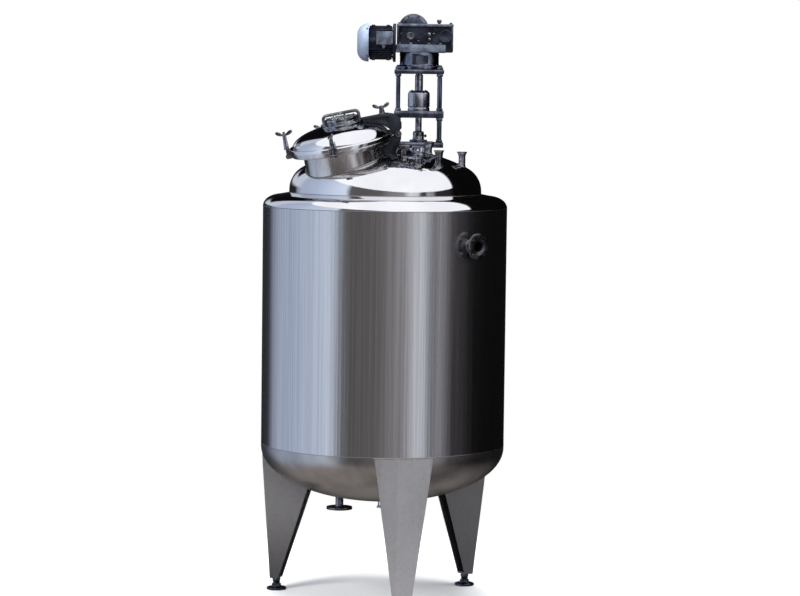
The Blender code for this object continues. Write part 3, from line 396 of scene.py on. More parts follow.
# Bottom: a spun dish with a short straight skirt, the same satin steel as the shell but
# polished round its middle, with the holes for the two outlets.
bottom_steel = grained("bottom_steel", (0.46, 0.44, 0.43), 1.0, 0.27,
    [(7.0, 5.0), ((9.0, 9.0, 150.0), 4.0)], ((0.38, 0.36, 0.35), (0.53, 0.51, 0.5)),
    (0.2, 0.12, 0.06), (0.0006, 0.8, 0.5), (0.3, 0.7))

DISH_RIM, DISH_DEPTH = 0.77, 0.27
t = np.linspace(0.0, math.pi / 2, 31)
dish = arc(0.0, DISH_RIM, SHELL, -DISH_DEPTH, t)
dish_in = arc(0.0, DISH_RIM, SHELL - SHEET, SHEET - DISH_DEPTH, t)
dish[-1, 0] = dish_in[-1, 0] = 0.0
dish_line = np.concatenate([[(SHELL, 0.7867)], dish, dish_in[::-1], [(SHELL - SHEET, 0.7867)]])


def shift(x, y, z=0.0):
    return Matrix.Translation((x, y, z))


DRAIN = shift(-0.213, 0.03)
bottom = piece("bottom_dish", [turned(dish_line, sides=FINE)], bottom_steel, "shell_steel",
    "outer_bottom_dish")
bored(bottom, rod(0.0203, 0.4, 0.6, DRAIN, 32), rod(0.0193, 0.4, 0.6, None, 32))

# Inner vessel: ground plate, seen only through the open manhole.
inner_steel = grained("inner_steel", (0.62, 0.62, 0.63), 1.0, 0.3, [((60.0, 60.0, 4.0), 4.0)],
    ((0.52, 0.52, 0.53), (0.7, 0.7, 0.71)), (0.24, 0.16), (0.0003, 1.0))
for node in ("inner_vessel", "inner_bottom_dish"):
    cad[node].material_slots[0].material = inner_steel


# Roof: a thick dished head with a tight knuckle and a flat crown, mirror polished, with
# bores for the manhole, the drive and the five nozzles.
VESSEL, ROOF_SEAM, KNUCKLE, RISE = 0.479, 2.052, 0.13, 0.213
knuckle_centre = VESSEL - KNUCKLE
CROWN = (knuckle_centre ** 2 + RISE ** 2 - KNUCKLE ** 2) / (2 * (RISE - KNUCKLE))
crown_centre = ROOF_SEAM + RISE - CROWN
crown_edge = math.asin(knuckle_centre / (CROWN - KNUCKLE))


def roof_line(offset):
    """Knuckle circle from the rim up to where it meets the crown circle, then the crown."""
    a = np.linspace(0.0, math.pi / 2 - crown_edge, 16)
    b = np.linspace(crown_edge, 0.0, 18)[1:]
    rim = arc(knuckle_centre, ROOF_SEAM, KNUCKLE + offset, KNUCKLE + offset, a)
    top = np.stack([(CROWN + offset) * np.sin(b), crown_centre + (CROWN + offset) * np.cos(b)], 1)
    return np.concatenate([rim, top])


def roof_height(x, y):
    """Height of the roof's outer face over a place: on the crown's sphere, or the knuckle."""
    r = np.hypot(x, y)
    crown = crown_centre + np.sqrt(np.maximum(CROWN ** 2 - r ** 2, 0.0))
    rim = ROOF_SEAM + np.sqrt(np.maximum(KNUCKLE ** 2 - (r - knuckle_centre) ** 2, 0.0))
    return np.where(r < CROWN * math.sin(crown_edge), crown, rim)


MANHOLE = Vector((-0.217, -0.205, 2.281))
LEAN = Vector((-0.182, -0.125, 0.975)).normalized()
first_axis = (Vector((1, 0, 0)) - LEAN.x * LEAN).normalized()


def manhole_frame(angle, reach=0.0, height=0.0):
    """Place on the lid's joint plane, outward at an angle round it, its Z along the lean."""
    turn = math.radians(angle)
    outward = math.cos(turn) * first_axis + math.sin(turn) * LEAN.cross(first_axis)
    origin = MANHOLE + outward * reach + LEAN * height
    return axis_frame(origin, outward, LEAN.cross(outward), LEAN)


NOZZLES = {
    "nozzle_right": (0.38, -0.03, 2.2495, 0.017),
    "nozzle_front_right": (0.262, -0.263, 2.26, 0.019),
    "nozzle_front": (0.165, -0.3, 2.228, 0.019),
    "nozzle_centre": (0.094, -0.226, 2.266, 0.019),
    "nozzle_back": (0.215, 0.02, 2.285, 0.016),
}
MIXER_X, MIXER_Y = 0.163, 0.245
MIXER = shift(MIXER_X, MIXER_Y)
roof_wall = np.concatenate([[(VESSEL, 2.0345)], roof_line(0.0), roof_line(-0.005)[::-1],
    [(VESSEL - 0.005, 2.0345)]])
roof = piece("roof", [turned(roof_wall, sides=FINE)], polished_steel, "polished_steel", "top_dish")
holes = [rod(0.1875, -0.3, 0.1, manhole_frame(0), 72), rod(0.055, 2.0, 2.4, MIXER, 48)]
for x, y, top, pipe in NOZZLES.values():
    holes.append(rod(pipe + 0.0003, 2.05, 2.4, shift(x, y), 32))
bored(roof, *holes)


# Roof nozzles: short pipe stubs, each flared out to a clamp ferrule with a turned groove in
# its back, and set into the roof with a fillet weld.
fitting_steel = grained("fitting_steel", (0.34, 0.35, 0.38), 1.0, 0.14, [(45.0, 4.0)],
    ((0.07, 0.075, 0.09), (0.4, 0.41, 0.45)), (0.08, 0.16), (0.0004, 1.0), (0.3, 0.7))

FERRULE = 0.02525


def pipe_bead(x, y, radius, size, surface, lift, count):
    """Weld round an upright pipe, along the heights of the surface that it stands in."""
    a = circle(count)
    px, py = x + radius * np.cos(a), y + radius * np.sin(a)
    return tube(np.stack([px, py, surface(px, py) + lift], 1), size, 8, True)


bead_forms = []
for name, (x, y, top, pipe) in NOZZLES.items():
    low = float(roof_height(x, y)) - 0.03
    bore = pipe - 0.002
    outline = [(bore, low), (pipe, low), (pipe, top - 0.022), (pipe + 0.0012, top - 0.0185),
        (FERRULE - 0.0035, top - 0.0075), (FERRULE - 0.0005, top - 0.0048),
        (FERRULE, top - 0.0036), (FERRULE, top - 0.0004), (FERRULE - 0.0006, top),
        (bore + 0.0045, top), (bore + 0.0035, top - 0.0012), (bore + 0.002, top), (bore, top)]
    place = shift(x, y)
    piece(name + "_stub", [turned(outline, place, 48, 0.0012, 3)], fitting_steel, "polished_steel",
        name)
    bead_forms.append(pipe_bead(x, y, pipe + 0.001, 0.0028, roof_height, 0.001, 40))
piece("nozzle_welds", bead_forms, weld_steel)

# Closed nozzles: a blind ferrule held by a hinged two-piece clamp and its wing nut on the
# front one, a cap with a hexagon head on the middle one, and a turned plug on the back one.
dark_steel = grained("dark_steel", (0.17, 0.17, 0.19), 1.0, 0.24,
    [(30.0, 5.0), ((14.0, 14.0, 420.0), 2.0)], ((0.1, 0.1, 0.115), (0.34, 0.34, 0.37)),
    (0.14, 0.2, 0.08), (0.0005, 0.7, 0.3), (0.35, 0.7))


def spin(degrees, axis="Z"):
    return Matrix.Rotation(math.radians(degrees), 4, axis)


def upended(form):
    """The form rolled a quarter turn, so that its local Y stands up."""
    return form[0][:, [0, 2, 1]] * (1, -1, 1), form[1]


def moved(forms, place):
    return [(placed(points, place), faces) for points, faces in forms]


def wing_nut(low, top, hub, span, rise, thick=0.006):
    """Tapered hub, and two wings: each is a flat egg of an outline, thicker at its root,
    that leans outwards from the hub's top. Heights run along local Z, the wings along X."""
    waist, root = hub * 0.7, top - rise
    outline = [(0, low), (hub, low), (hub, low + 0.003), (waist, root + rise * 0.15),
        (waist * 0.96, root + rise * 0.42), (0, root + rise * 0.45)]
    forms = [turned(outline, None, 32, 0.0018, 3)]
    half = span / 2
    for side in (-1.0, 1.0):
        a = circle(28)
        along = (1 - np.cos(a)) / 2
        across = np.sin(a) * rise * (0.16 + 0.17 * along)
        x = waist * 0.45 + along * (half - waist * 0.45) - across * 0.3
        z = root + rise * 0.1 + along * rise * 0.56 + across
        flat = np.stack([side * x, np.clip(z, None, top)], 1)
        forms.append(upended(slab(flat, -thick / 2, thick / 2, thick * 0.42)))
    return forms


def hexagon(across):
    """Corners of a hexagon from its width across flats."""
    a = np.radians(np.arange(6) * 60 + 30)
    return np.stack([np.cos(a), np.sin(a)], 1) * across / math.sqrt(3)


def hex_bolt(across, low, head, stud=0.0):
    """Chamfered hexagon head, and the stud's rounded end above it, up local Z."""
    forms = [slab(hexagon(across), low, low + head, across * 0.06)]
    if stud:
        r, top = across * 0.29, low + head + stud
        forms.append(turned([(0, low), (r, low), (r, top - r * 0.3), (r * 0.6, top), (0, top)],
            None, 20))
    return forms


def on_nozzle(name):
    x, y, top, pipe = NOZZLES[name]
    return shift(x, y, top + 0.0003)


half_line = [(0, 0), (0.0262, 0), (0.0315, 0.0025), (0.0318, 0.0125), (0.027, 0.0152),
    (0.0235, 0.0165), (0.0225, 0.019), (0, 0.019)]
place = on_nozzle("nozzle_front")
hinge_side, wing_side = place @ spin(140), place @ spin(-40)
forms = [turned(half_line, place, 64, 0.0015, 3)]
for side, size in ((hinge_side, 0.006), (wing_side, 0.0085)):
    ear = [(0.026, -size), (0.04, -size), (0.04, size), (0.026, size)]
    forms += [slab(ear, 0.0015, 0.0135, 0.0012, side)]
hinge_pin = wing_side @ shift(0.036, 0.0, 0.0075) @ spin(90, "X")
forms += [rod(0.0032, -0.018, 0.018, hinge_pin, 16)]
nut_lay = wing_side @ shift(0.0375, 0.0, 0.0075) @ spin(100, "Y") @ spin(90)
forms += moved(wing_nut(0.0, 0.022, 0.0055, 0.044, 0.013, 0.0035), nut_lay)
piece("front_clamp", forms, fitting_steel, "polished_steel", "clamp_front")

cap_line = [(0, 0), (0.03, 0), (0.0356, 0.0035), (0.036, 0.014), (0.03, 0.0176), (0.018, 0.0182),
    (0, 0.0182)]
forms = [turned(cap_line, None, 64, 0.0015, 3)] + hex_bolt(0.026, 0.018, 0.0088)
piece("centre_cap", moved(forms, on_nozzle("nozzle_centre")), dark_steel, "dark_steel",
    "clamp_centre")

plug_line = [(0, 0), (0.0258, 0), (0.0262, 0.009), (0.0215, 0.0112), (0.0185, 0.0128), (0, 0.0128)]
piece("back_plug", [turned(plug_line, on_nozzle("nozzle_back"), 64, 0.0012, 3)], dark_steel,
    "dark_steel", "cap_back")


# Side inlet: a pipe with a flat flange for four bolts, turned steel, welded into the shell.
def ring_of(forms, count, radius, start=0.0, place=None):
    """The same forms repeated at equal angles round local Z, at a radius along X."""
    repeated = []
    for angle in circle(count):
        spot = Matrix.Rotation(math.radians(start) + angle, 4, "Z")
        repeated += moved(forms, spot @ shift(radius, 0.0))
    return moved(repeated, place)


flange_line = [(0.026, 0.589), (0.03, 0.589), (0.03, 0.6435), (0.0335, 0.6478), (0.0622, 0.6482),
    (0.0625, 0.6618), (0.04, 0.662), (0.0395, 0.6608), (0.026, 0.6608)]
inlet = piece("side_inlet", [turned(flange_line, side_place, 96, 0.0012, 3)], dark_steel,
    "dark_steel", "side_nozzle")
drill = rod(0.0062, 0.64, 0.67, None, 20)
bored(inlet, *ring_of([drill], 4, 0.0495, 45.0, side_place))
t = circle(64)
across, along = 0.0305 * np.sin(t), 0.0305 * np.cos(t)
reach = np.sqrt(SHELL ** 2 - across ** 2) + 0.0012
ring = np.stack([along, across, reach], 1)
piece("side_inlet_weld", [tube(ring, 0.003, 8, True, side_place)], weld_steel)

# Drain and outlet under the bottom: a flanged stub for the jacket and a clamp ferrule for
# the vessel, both fillet welded into the dish.
drain_line = [(0.018, 0.44), (0.03, 0.44), (0.0305, 0.4412), (0.0648, 0.4414), (0.065, 0.4538),
    (0.0235, 0.4542), (0.02, 0.458), (0.02, 0.535), (0.018, 0.535)]
drain = piece("drain_flange", [turned(drain_line, DRAIN, 80, 0.001, 3)], dark_steel, "dark_steel",
    "drain_nozzle")
drill = rod(0.006, 0.42, 0.47, None, 20)
bored(drain, *ring_of([drill], 4, 0.048, 45.0, DRAIN))
outlet_line = [(0.017, 0.455), (0.0205, 0.455), (0.0215, 0.4562), (0.0225, 0.455),
    (FERRULE, 0.455), (FERRULE, 0.4595), (0.0195, 0.47), (0.019, 0.475), (0.019, 0.568),
    (0.017, 0.568)]
piece("outlet", [turned(outlet_line, None, 64, 0.001, 3)], polished_steel, "polished_steel",
    "bottom_outlet")


def dish_height(x, y):
    """Height of the bottom dish's outer face: the lower half of a flattened sphere."""
    return DISH_RIM - DISH_DEPTH * np.sqrt(np.maximum(1 - (x * x + y * y) / SHELL ** 2, 0.0))


piece("outlet_welds", [pipe_bead(-0.213, 0.03, 0.021, 0.0028, dish_height, -0.001, 48),
    pipe_bead(0.0, 0.0, 0.02, 0.0028, dish_height, -0.001, 48)], weld_steel)


# Legs: folded channels of satin sheet that taper down from the shell, welded on all round,
# each with a levelling foot screwed into its sole.
FEET = {"front": 10.5, "right": 130.5, "left": -109.5}
# Painted light and shade on the legs: each leg's colour is multiplied by one factor at its foot
# and another at its top. The front leg is painted lighter and brighter at its foot, the right leg
# darker, and the left leg darker towards the floor, for how the light falls on each side.
LEG_PAINTED_SHADE = {"front": (1.36, 1.12), "right": (0.36, 0.5), "left": (0.34, 1.0)}
for side, (low_shade, high_shade) in LEG_PAINTED_SHADE.items():
    leg_painted_shade_steel, shader, place = finish("leg_steel_" + side, (0.4, 0.39, 0.385), 0.9, 0.5)
    speckle = stretched(place, 55.0, detail=8.0, roughness=0.75)
    cloud = stretched(place, (4.0, 4.0, 2.5), detail=3.0)
    rise = place.node("SeparateXYZ", Vector=place, out=2).within(0.04, 0.46)
    shade = rise * (high_shade - low_shade) + low_shade
    # Mottled grain times the painted shade factor for this leg and height.
    tint((speckle * 0.3 + cloud * 0.2 + 0.25) * shade, (0.04, 0.036, 0.036),
        (0.78, 0.77, 0.79)).plug(shader, "Base Color")
    (0.42 + speckle * 0.2).plug(shader, "Roughness")
    raised(speckle, shader, 0.0007)
    cad["leg_" + side].material_slots[0].material = leg_painted_shade_steel

FOOT_Z, TOP_Z, FOOT_REACH = 0.062, 0.783, 0.567
FACE_REACH, FACE_WIDTH, CONVERGE = (0.588, 0.614), (0.088, 0.3), 0.36
BEAD_REACH, BEAD_HALF, BEAD_LOW = 0.6112, 0.149, 0.559
bead_forms = []
for side, angle in FEET.items():
    turn = math.radians(angle)
    outward = Vector((math.sin(turn), -math.cos(turn), 0.0))
    upright = axis_frame((0, 0, 0), outward, UP.cross(outward), UP)
    side_way = np.linspace(-BEAD_HALF, BEAD_HALF, 24)
    top_edge = np.stack([np.sqrt(BEAD_REACH ** 2 - side_way ** 2), side_way,
        0 * side_way + TOP_Z + 0.0005], 1)
    bead_forms.append(tube(top_edge, 0.003, 8, place=upright))
    z = np.linspace(TOP_Z, BEAD_LOW, 26)
    share = (z - FOOT_Z) / (TOP_Z - FOOT_Z)
    face = np.interp(share, (0, 1), FACE_REACH)
    half = np.interp(share, (0, 1), FACE_WIDTH) / 2
    dish_r = SHELL * np.sqrt(np.clip(1 - ((DISH_RIM - np.minimum(z, DISH_RIM)) / DISH_DEPTH) ** 2,
        0, 1))
    for sign in (-1.0, 1.0):
        u = dish_r.copy()
        for _ in range(6):
            v = half - CONVERGE * (face - u)
            u = np.sqrt(np.maximum(dish_r ** 2 - v ** 2, 0.0))
        seam = np.stack([u, sign * v, z], 1)
        bead_forms.append(tube(seam, 0.0026, 8, place=upright))
piece("leg_welds", bead_forms, weld_steel)

blued_steel = grained("blued_steel", (0.06, 0.07, 0.085), 1.0, 0.26, [(70.0, 4.0)],
    ((0.035, 0.042, 0.055), (0.17, 0.19, 0.22)), (0.16, 0.25), (0.0004, 1.0), (0.4, 0.75))


def threaded(radius, low, high, pitch, sides=40, place=None):
    """Screw thread: radius plus a triangle wave of height and angle together, so that the
    crest climbs one pitch a turn."""
    rows = int((high - low) / pitch * 6)
    z = np.linspace(low, high, rows)[:, None]
    a = circle(sides)[None, :]
    phase = (z / pitch - a / (2 * math.pi)) % 1.0
    r = radius - pitch * 0.5 * np.abs(2 * phase - 1)
    grid = np.stack([r * np.cos(a), r * np.sin(a), z + 0 * a], -1).reshape(-1, 3)
    return placed(grid, place), lattice(rows, sides, False)


for side, angle in FEET.items():
    turn = math.radians(angle)
    spot = shift(math.sin(turn) * FOOT_REACH, -math.cos(turn) * FOOT_REACH)
    pad = [(0, 0), (0.047, 0), (0.05, 0.0025), (0.05, 0.0095), (0.048, 0.0118), (0.0275, 0.0165),
        (0.0235, 0.0205), (0.0235, 0.029), (0, 0.029)]
    forms = [turned(pad, None, 72, 0.0015, 3), threaded(0.018, 0.028, 0.048, 0.0025)]
    forms += [slab(hexagon(0.04), 0.046, FOOT_Z - 0.0004, 0.0014)]
    piece("levelling_foot_" + side, moved(forms, spot), blued_steel, "dark_steel", "foot_" + side)


# Manhole neck: a rolled collar that leans to the front left, with a flat machined flange,
# welded into the roof; three lugs with pins on the flange carry the swing bolts.
neck_steel = grained("neck_steel", (0.6, 0.59, 0.585), 1.0, 0.2, [((34.0, 34.0, 2.2), 5.0, 0.7)],
    ((0.5, 0.48, 0.47), (0.7, 0.69, 0.69)), (0.12, 0.14), (0.0007, 1.0), (0.3, 0.7))

neck_wall = [(0.189, -0.3), (0.194, -0.3), (0.194, -0.0245), (0.1965, -0.0222), (0.2455, -0.022),
    (0.246, -0.0005), (0.242, 0.0), (0.189, 0.0)]
a = circle(FINE)
frame_now = np.array(manhole_frame(0.0))


def neck_depth(radius):
    """How far down its own axis a neck wall of that radius goes before the roof: the height
    is stepped down by the point's height above the roof until both agree."""
    ring = np.stack([radius * np.cos(a), radius * np.sin(a), 0 * a], 1) @ frame_now[:3, :3].T
    ring += frame_now[:3, 3]
    depth = np.full(FINE, -0.12)
    for _ in range(40):
        spot = ring + depth[:, None] * frame_now[:3, 2]
        depth -= 0.7 * (spot[:, 2] - roof_height(spot[:, 0], spot[:, 1]))
    return depth


line = eased(neck_wall, 0.0012, 3)
grid = np.empty((len(line), FINE, 3))
r = line[:, 0][:, None]
grid[..., 0], grid[..., 1], grid[..., 2] = r * np.cos(a), r * np.sin(a), line[:, 1][:, None]
for row in np.flatnonzero(line[:, 1] < -0.2):
    grid[row, :, 2] = neck_depth(line[row, 0]) - 0.006
LUGS = {"left": 184.0, "back": 110.0, "front": 263.0}
REACH, PIVOT = 0.268, -0.0125
forms = [(placed(grid.reshape(-1, 3), frame_now), lattice(len(line), FINE))]
lug_forms = []
for side, angle in LUGS.items():
    spot = manhole_frame(angle, REACH, PIVOT)
    lay = spot @ spin(90, "X")
    t = np.radians(np.linspace(-90, 90, 13))
    cheek = np.concatenate([arc(0.0, 0.0, 0.0105, 0.0105, t), [(-0.03, 0.0095), (-0.03, -0.0095)]])
    for low in (-0.016, 0.008):
        lug_forms += [slab(cheek, low, low + 0.008, 0.0012, lay)]
    pin = [(0, -0.019), (0.005, -0.019), (0.005, 0.0175), (0.0078, 0.0178), (0.0078, 0.0195),
        (0, 0.0195)]
    lug_forms += [turned(pin, lay, 24, 0.0006, 2)]
piece("neck", forms, neck_steel, "polished_steel", "manhole_neck")
piece("bolt_lugs", lug_forms, dark_steel, "dark_steel")
depth = neck_depth(0.195)
seam = np.stack([0.195 * np.cos(a), 0.195 * np.sin(a), depth + 0.001], 1)
piece("neck_weld", [tube(seam, 0.0042, 8, True, frame_now)], weld_steel)

# Gasket: a dark rubber ring that shows as a line between the flange and the lid.
rubber = grained("gasket_rubber", (0.02, 0.02, 0.022), 0.0, 0.6, [(90.0,)],
    ((0.012, 0.012, 0.013), (0.035, 0.034, 0.034)))
gasket = [(0.195, -0.0012), (0.2425, -0.0012), (0.2425, 0.001), (0.195, 0.001)]
piece("gasket", [turned(gasket, manhole_frame(0.0), FINE)], rubber)


# Lid: a pressed dome with a deep turned rim and three slotted lips for the swing bolts,
# mirror polished, hinged at the drive's side.
RIM_TOP, DOME, DOME_RISE, CAP = 0.022, 0.238, 0.08, 0.205


def lid_height(r):
    return RIM_TOP + DOME_RISE * np.sqrt(np.maximum(1.0 - (r / DOME) ** 2, 0.0))


HINGE = 10.0
t = np.linspace(0.0, math.pi / 2, 26)
dome = np.stack([DOME * np.cos(t), lid_height(DOME * np.cos(t))], 1)
cap = np.stack([CAP * np.cos(t), lid_height(CAP * np.cos(t)) - 0.005], 1)
dome[-1, 0] = cap[-1, 0] = 0.0
rim = eased([(CAP, 0.0005), (0.255, 0.0005), (0.256, 0.0014), (0.256, 0.019), (0.253, RIM_TOP),
    (0.242, RIM_TOP)], 0.002, 3)
lid_line = np.concatenate([rim[1:], dome, cap[::-1]])
lid = piece("lid", [turned(lid_line, manhole_frame(HINGE), FINE)], polished_steel,
    "polished_steel", "manhole_lid", body="lid")
bored(lid, rod(0.056, -0.02, 0.14, manhole_frame(HINGE, 0.022), 64))
prong = [(0.248, -0.022), (0.2695, -0.0215), (0.2708, -0.019), (0.2708, -0.008), (0.2585, -0.0075)]
fork = prong + [(0.2575, 0.0)] + [(x, -y) for x, y in prong[::-1]]
lips = []
for side, angle in LUGS.items():
    lips += [slab(eased(fork, 0.002, 3), 0.002, 0.023, 0.0012, manhole_frame(angle))]
piece("lid_lips", lips, fitting_steel, "polished_steel", body="lid")

# Sight glass: a turned ring welded on the dome, a loose ring on top held by eight small
# bolts, and a disc of clear glass between them.
drum_frame = manhole_frame(HINGE, 0.022)
drum_line = [(0.056, 0.088), (0.0965, 0.088), (0.098, 0.0895), (0.098, 0.104), (0.0965, 0.106),
    (0.0835, 0.1062), (0.0802, 0.1085), (0.08, 0.116), (0.0788, 0.1175), (0.08, 0.119),
    (0.08, 0.1305), (0.0788, 0.1318), (0.0645, 0.1318), (0.0635, 0.1305), (0.0635, 0.118),
    (0.056, 0.118)]
forms = [turned(drum_line, drum_frame, 96, 0.0008, 3)]
forms += ring_of(hex_bolt(0.008, 0.1316, 0.0045, 0.0012), 8, 0.0715, 22.5, drum_frame)
piece("sight_ring", forms, fitting_steel, "dark_steel", "sight_drum", body="lid")
pane, shader, place = finish("clear_glass", (0.8, 0.88, 0.9), 0.0, 0.03, Transmission_Weight=0.9,
    IOR=1.5)
smears = stretched(place, 18.0, detail=4.0)
(0.02 + smears.within(0.45, 0.8) * 0.1).plug(shader, "Roughness")
tint(smears, (0.72, 0.8, 0.83), (0.88, 0.94, 0.95)).plug(shader, "Base Color")
disc = [(0, 0.1184), (0.0626, 0.1184), (0.0626, 0.1276), (0, 0.128)]
piece("glass_disc", [turned(disc, drum_frame, 96, 0.001, 3)], pane, "sight_glass", "sight_glass",
    body="lid")

# Lid handle: round bar bent square over the glass, its feet welded to the ring's flange.
HANDLE_HALF = 0.0885
bend = np.radians(np.linspace(0, 90, 12))
corner = np.stack([0.018 * (1 - np.cos(bend)), 0.018 * np.sin(bend)], 1)
half_path = np.concatenate([[(0.0, 0.1064), (0.0, 0.128)], corner + (0.0, 0.135),
    [(0.04, 0.153), (HANDLE_HALF, 0.153)]])
path = np.concatenate([half_path - (HANDLE_HALF, 0),
    half_path[-2::-1] * (-1, 1) + (HANDLE_HALF, 0)])
path = np.stack([path[:, 0], 0 * path[:, 0], path[:, 1]], 1)
foot = [(0.0, 0.1062), (0.0095, 0.1062), (0.009, 0.108), (0.0075, 0.11), (0.0, 0.11)]
forms = [tube(path, 0.008, 20, place=drum_frame)]
for x in (-HANDLE_HALF, HANDLE_HALF):
    forms += [turned(foot, drum_frame @ shift(x, 0), 24, 0.001, 2)]
piece("handle", forms, dark_steel, "dark_steel", "lid_handle", body="lid")

# Hinge: a cast bracket with an eye on the roof, a pin with a nut at both ends, and a cast
# arm that reaches over the lid; a wing screw through the arm presses the lid down evenly.
cast_steel, shader, place = finish("cast_steel", (0.02, 0.022, 0.028), 0.7, 0.26,
    Specular_IOR_Level=0.3)
sand = stretched(place, 120.0, detail=6.0, roughness=0.7)
patch = stretched(place, 14.0, detail=3.0)
tint(sand * 0.4 + patch * 0.6, (0.002, 0.0022, 0.003),
    (0.06, 0.066, 0.086)).plug(shader, "Base Color")
(0.22 + sand * 0.22).plug(shader, "Roughness")
raised(sand * 0.6 + patch * 1.2, shader, 0.0016)
HINGE_REACH, EYE = 0.283, 0.0178
hinge_lay = manhole_frame(HINGE, HINGE_REACH) @ spin(90, "X")
t = np.radians(np.linspace(58, -150, 22))
eye_line = arc(0.0, 0.0, EYE, EYE, t)
r = np.linspace(0.223, 0.1205, 14)
seat_line = np.stack([r - HINGE_REACH, np.maximum(lid_height(r) + 0.0008, 0.0382)], 1)
back_line = [(-0.0262, 0.0022), (-0.0335, 0.03)]
top_line = [(-0.1625, 0.1098), (-0.03, 0.1098), (0.002, 0.0988), (0.0218, 0.0778), (0.0268, 0.05),
    (0.0218, 0.024)]
outline = np.concatenate([eye_line, back_line, seat_line, top_line])[::-1]
arm = piece("hinge_casting", [slab(eased(outline, 0.004, 3), -0.0258, 0.0258, 0.0025, hinge_lay)],
    cast_steel, "dark_steel", "hinge_arm", body="lid")
for low, high in ((0.0165, 0.04), (-0.04, -0.0165)):
    hollow = [(-0.12, 0.091), (-0.09, 0.081), (-0.05, 0.06), (-0.033, 0.062), (-0.033, 0.098),
        (-0.12, 0.098)]
    bored(arm, slab(eased(hollow, 0.008, 4), low, high, 0.0015, hinge_lay))
bored(arm, rod(0.0268, -0.016, 0.016, hinge_lay, 64))
washer = [(0.0084, 0.0262), (0.015, 0.0262), (0.0155, 0.0268), (0.015, 0.0282), (0.0084, 0.0282)]
nut = slab(hexagon(0.015), 0.0284, 0.0338, 0.0008)
pin_end = [turned(washer, None, 40), nut]
forms = moved(pin_end + moved(pin_end, spin(180, "X")), hinge_lay)
piece("hinge_pin_ends", forms, dark_steel, "dark_steel")
h = np.linspace(0.0, -0.13, 261)
foot_line = []
for x in (-0.0886, -0.07, -0.05, -0.028):
    spots = np.array([hinge_lay @ Vector((x, depth, 0.0)) for depth in h])
    sunk = spots[:, 2] < roof_height(spots[:, 0], spots[:, 1]) - 0.004
    foot_line.append((x, h[np.argmax(sunk)]))
t = np.radians(np.linspace(-20, 200, 22))
eye_line = arc(0.0, 0.0, EYE, EYE, t)
outline = np.concatenate([eye_line, [(-0.0365, -0.0072), (-0.0365, -0.0245), (-0.0886, -0.045)],
    foot_line, [(-0.018, -0.075), (0.0118, -0.03)]])
piece("hinge_stand", [slab(eased(outline, 0.003, 3), -0.0148, 0.0148, 0.002, hinge_lay)],
    cast_steel, "dark_casting", "hinge_bracket")
screw_frame = manhole_frame(HINGE, HINGE_REACH - 0.057)
forms = moved(wing_nut(0.1103, 0.17, 0.015, 0.084, 0.034, 0.0075), screw_frame @ spin(-HINGE))
forms += [rod(0.019, 0.1103, 0.113, screw_frame, 40, 0.0006, 2)]
piece("arm_wing_screw", forms, dark_steel, "dark_steel", "arm_screw", body="lid")

# Swing bolts: forged eye bolts with a threaded rod, and wing nuts with tall tapered hubs
# that bear on the lid's lips.
WING_TURN = {"left": 0.0, "back": 0.0, "front": 75.0}
NUT_TOPS = {"left": 0.124, "back": 0.0915, "front": 0.101}
for side, angle in LUGS.items():
    spot = manhole_frame(angle, REACH)
    lay = manhole_frame(angle, REACH, PIVOT) @ spin(90, "X")
    eye = [(0.0054, -0.0066), (0.0108, -0.0066), (0.0112, -0.005), (0.0112, 0.005),
        (0.0108, 0.0066), (0.0054, 0.0066)]
    forms = [turned(eye, lay, 40, 0.001, 3)]
    forms += [rod(0.0058, PIVOT + 0.0085, 0.02, spot, 28),
        threaded(0.006, 0.0185, NUT_TOPS[side] - 0.0122, 0.00175, 28, spot)]
    piece("eye_bolt_" + side, forms, dark_steel, "dark_steel", "swing_bolt_" + side,
        body="bolt_" + side)
    turn = spin(WING_TURN[side] - angle)
    forms = moved(wing_nut(0.0233, NUT_TOPS[side], 0.013, 0.084, 0.034), spot @ turn)
    piece("wing_" + side, forms, fitting_steel, "polished_steel", "wing_nut_" + side,
        body="bolt_" + side)


# Drive stand: a stub collar on the roof, three square plates, four posts that are threaded
# at their ends with nuts, and on the shaft's line the seal and the bearing.
chrome = grained("drive_chrome", (0.3, 0.31, 0.34), 1.0, 0.16, [((22.0, 22.0, 8.0), 5.0)],
    ((0.055, 0.062, 0.082), (0.2, 0.22, 0.29)), (0.1, 0.14), (0.0006, 1.0), (0.3, 0.7))

collar_bead = pipe_bead(MIXER_X, MIXER_Y, 0.0605, 0.003, roof_height, 0.001, 64)
a = circle(64)
roof_round = roof_height(MIXER_X + 0.0605 * np.cos(a), MIXER_Y + 0.0605 * np.sin(a))
collar_low = float(roof_round.min()) - 0.012
collar = [(0.055, collar_low), (0.06, collar_low), (0.06, 2.2637), (0.055, 2.2637)]
piece("drive_collar", [turned(collar, MIXER, 72)], polished_steel, "polished_steel", "drive_neck")
piece("drive_collar_weld", [collar_bead], weld_steel)

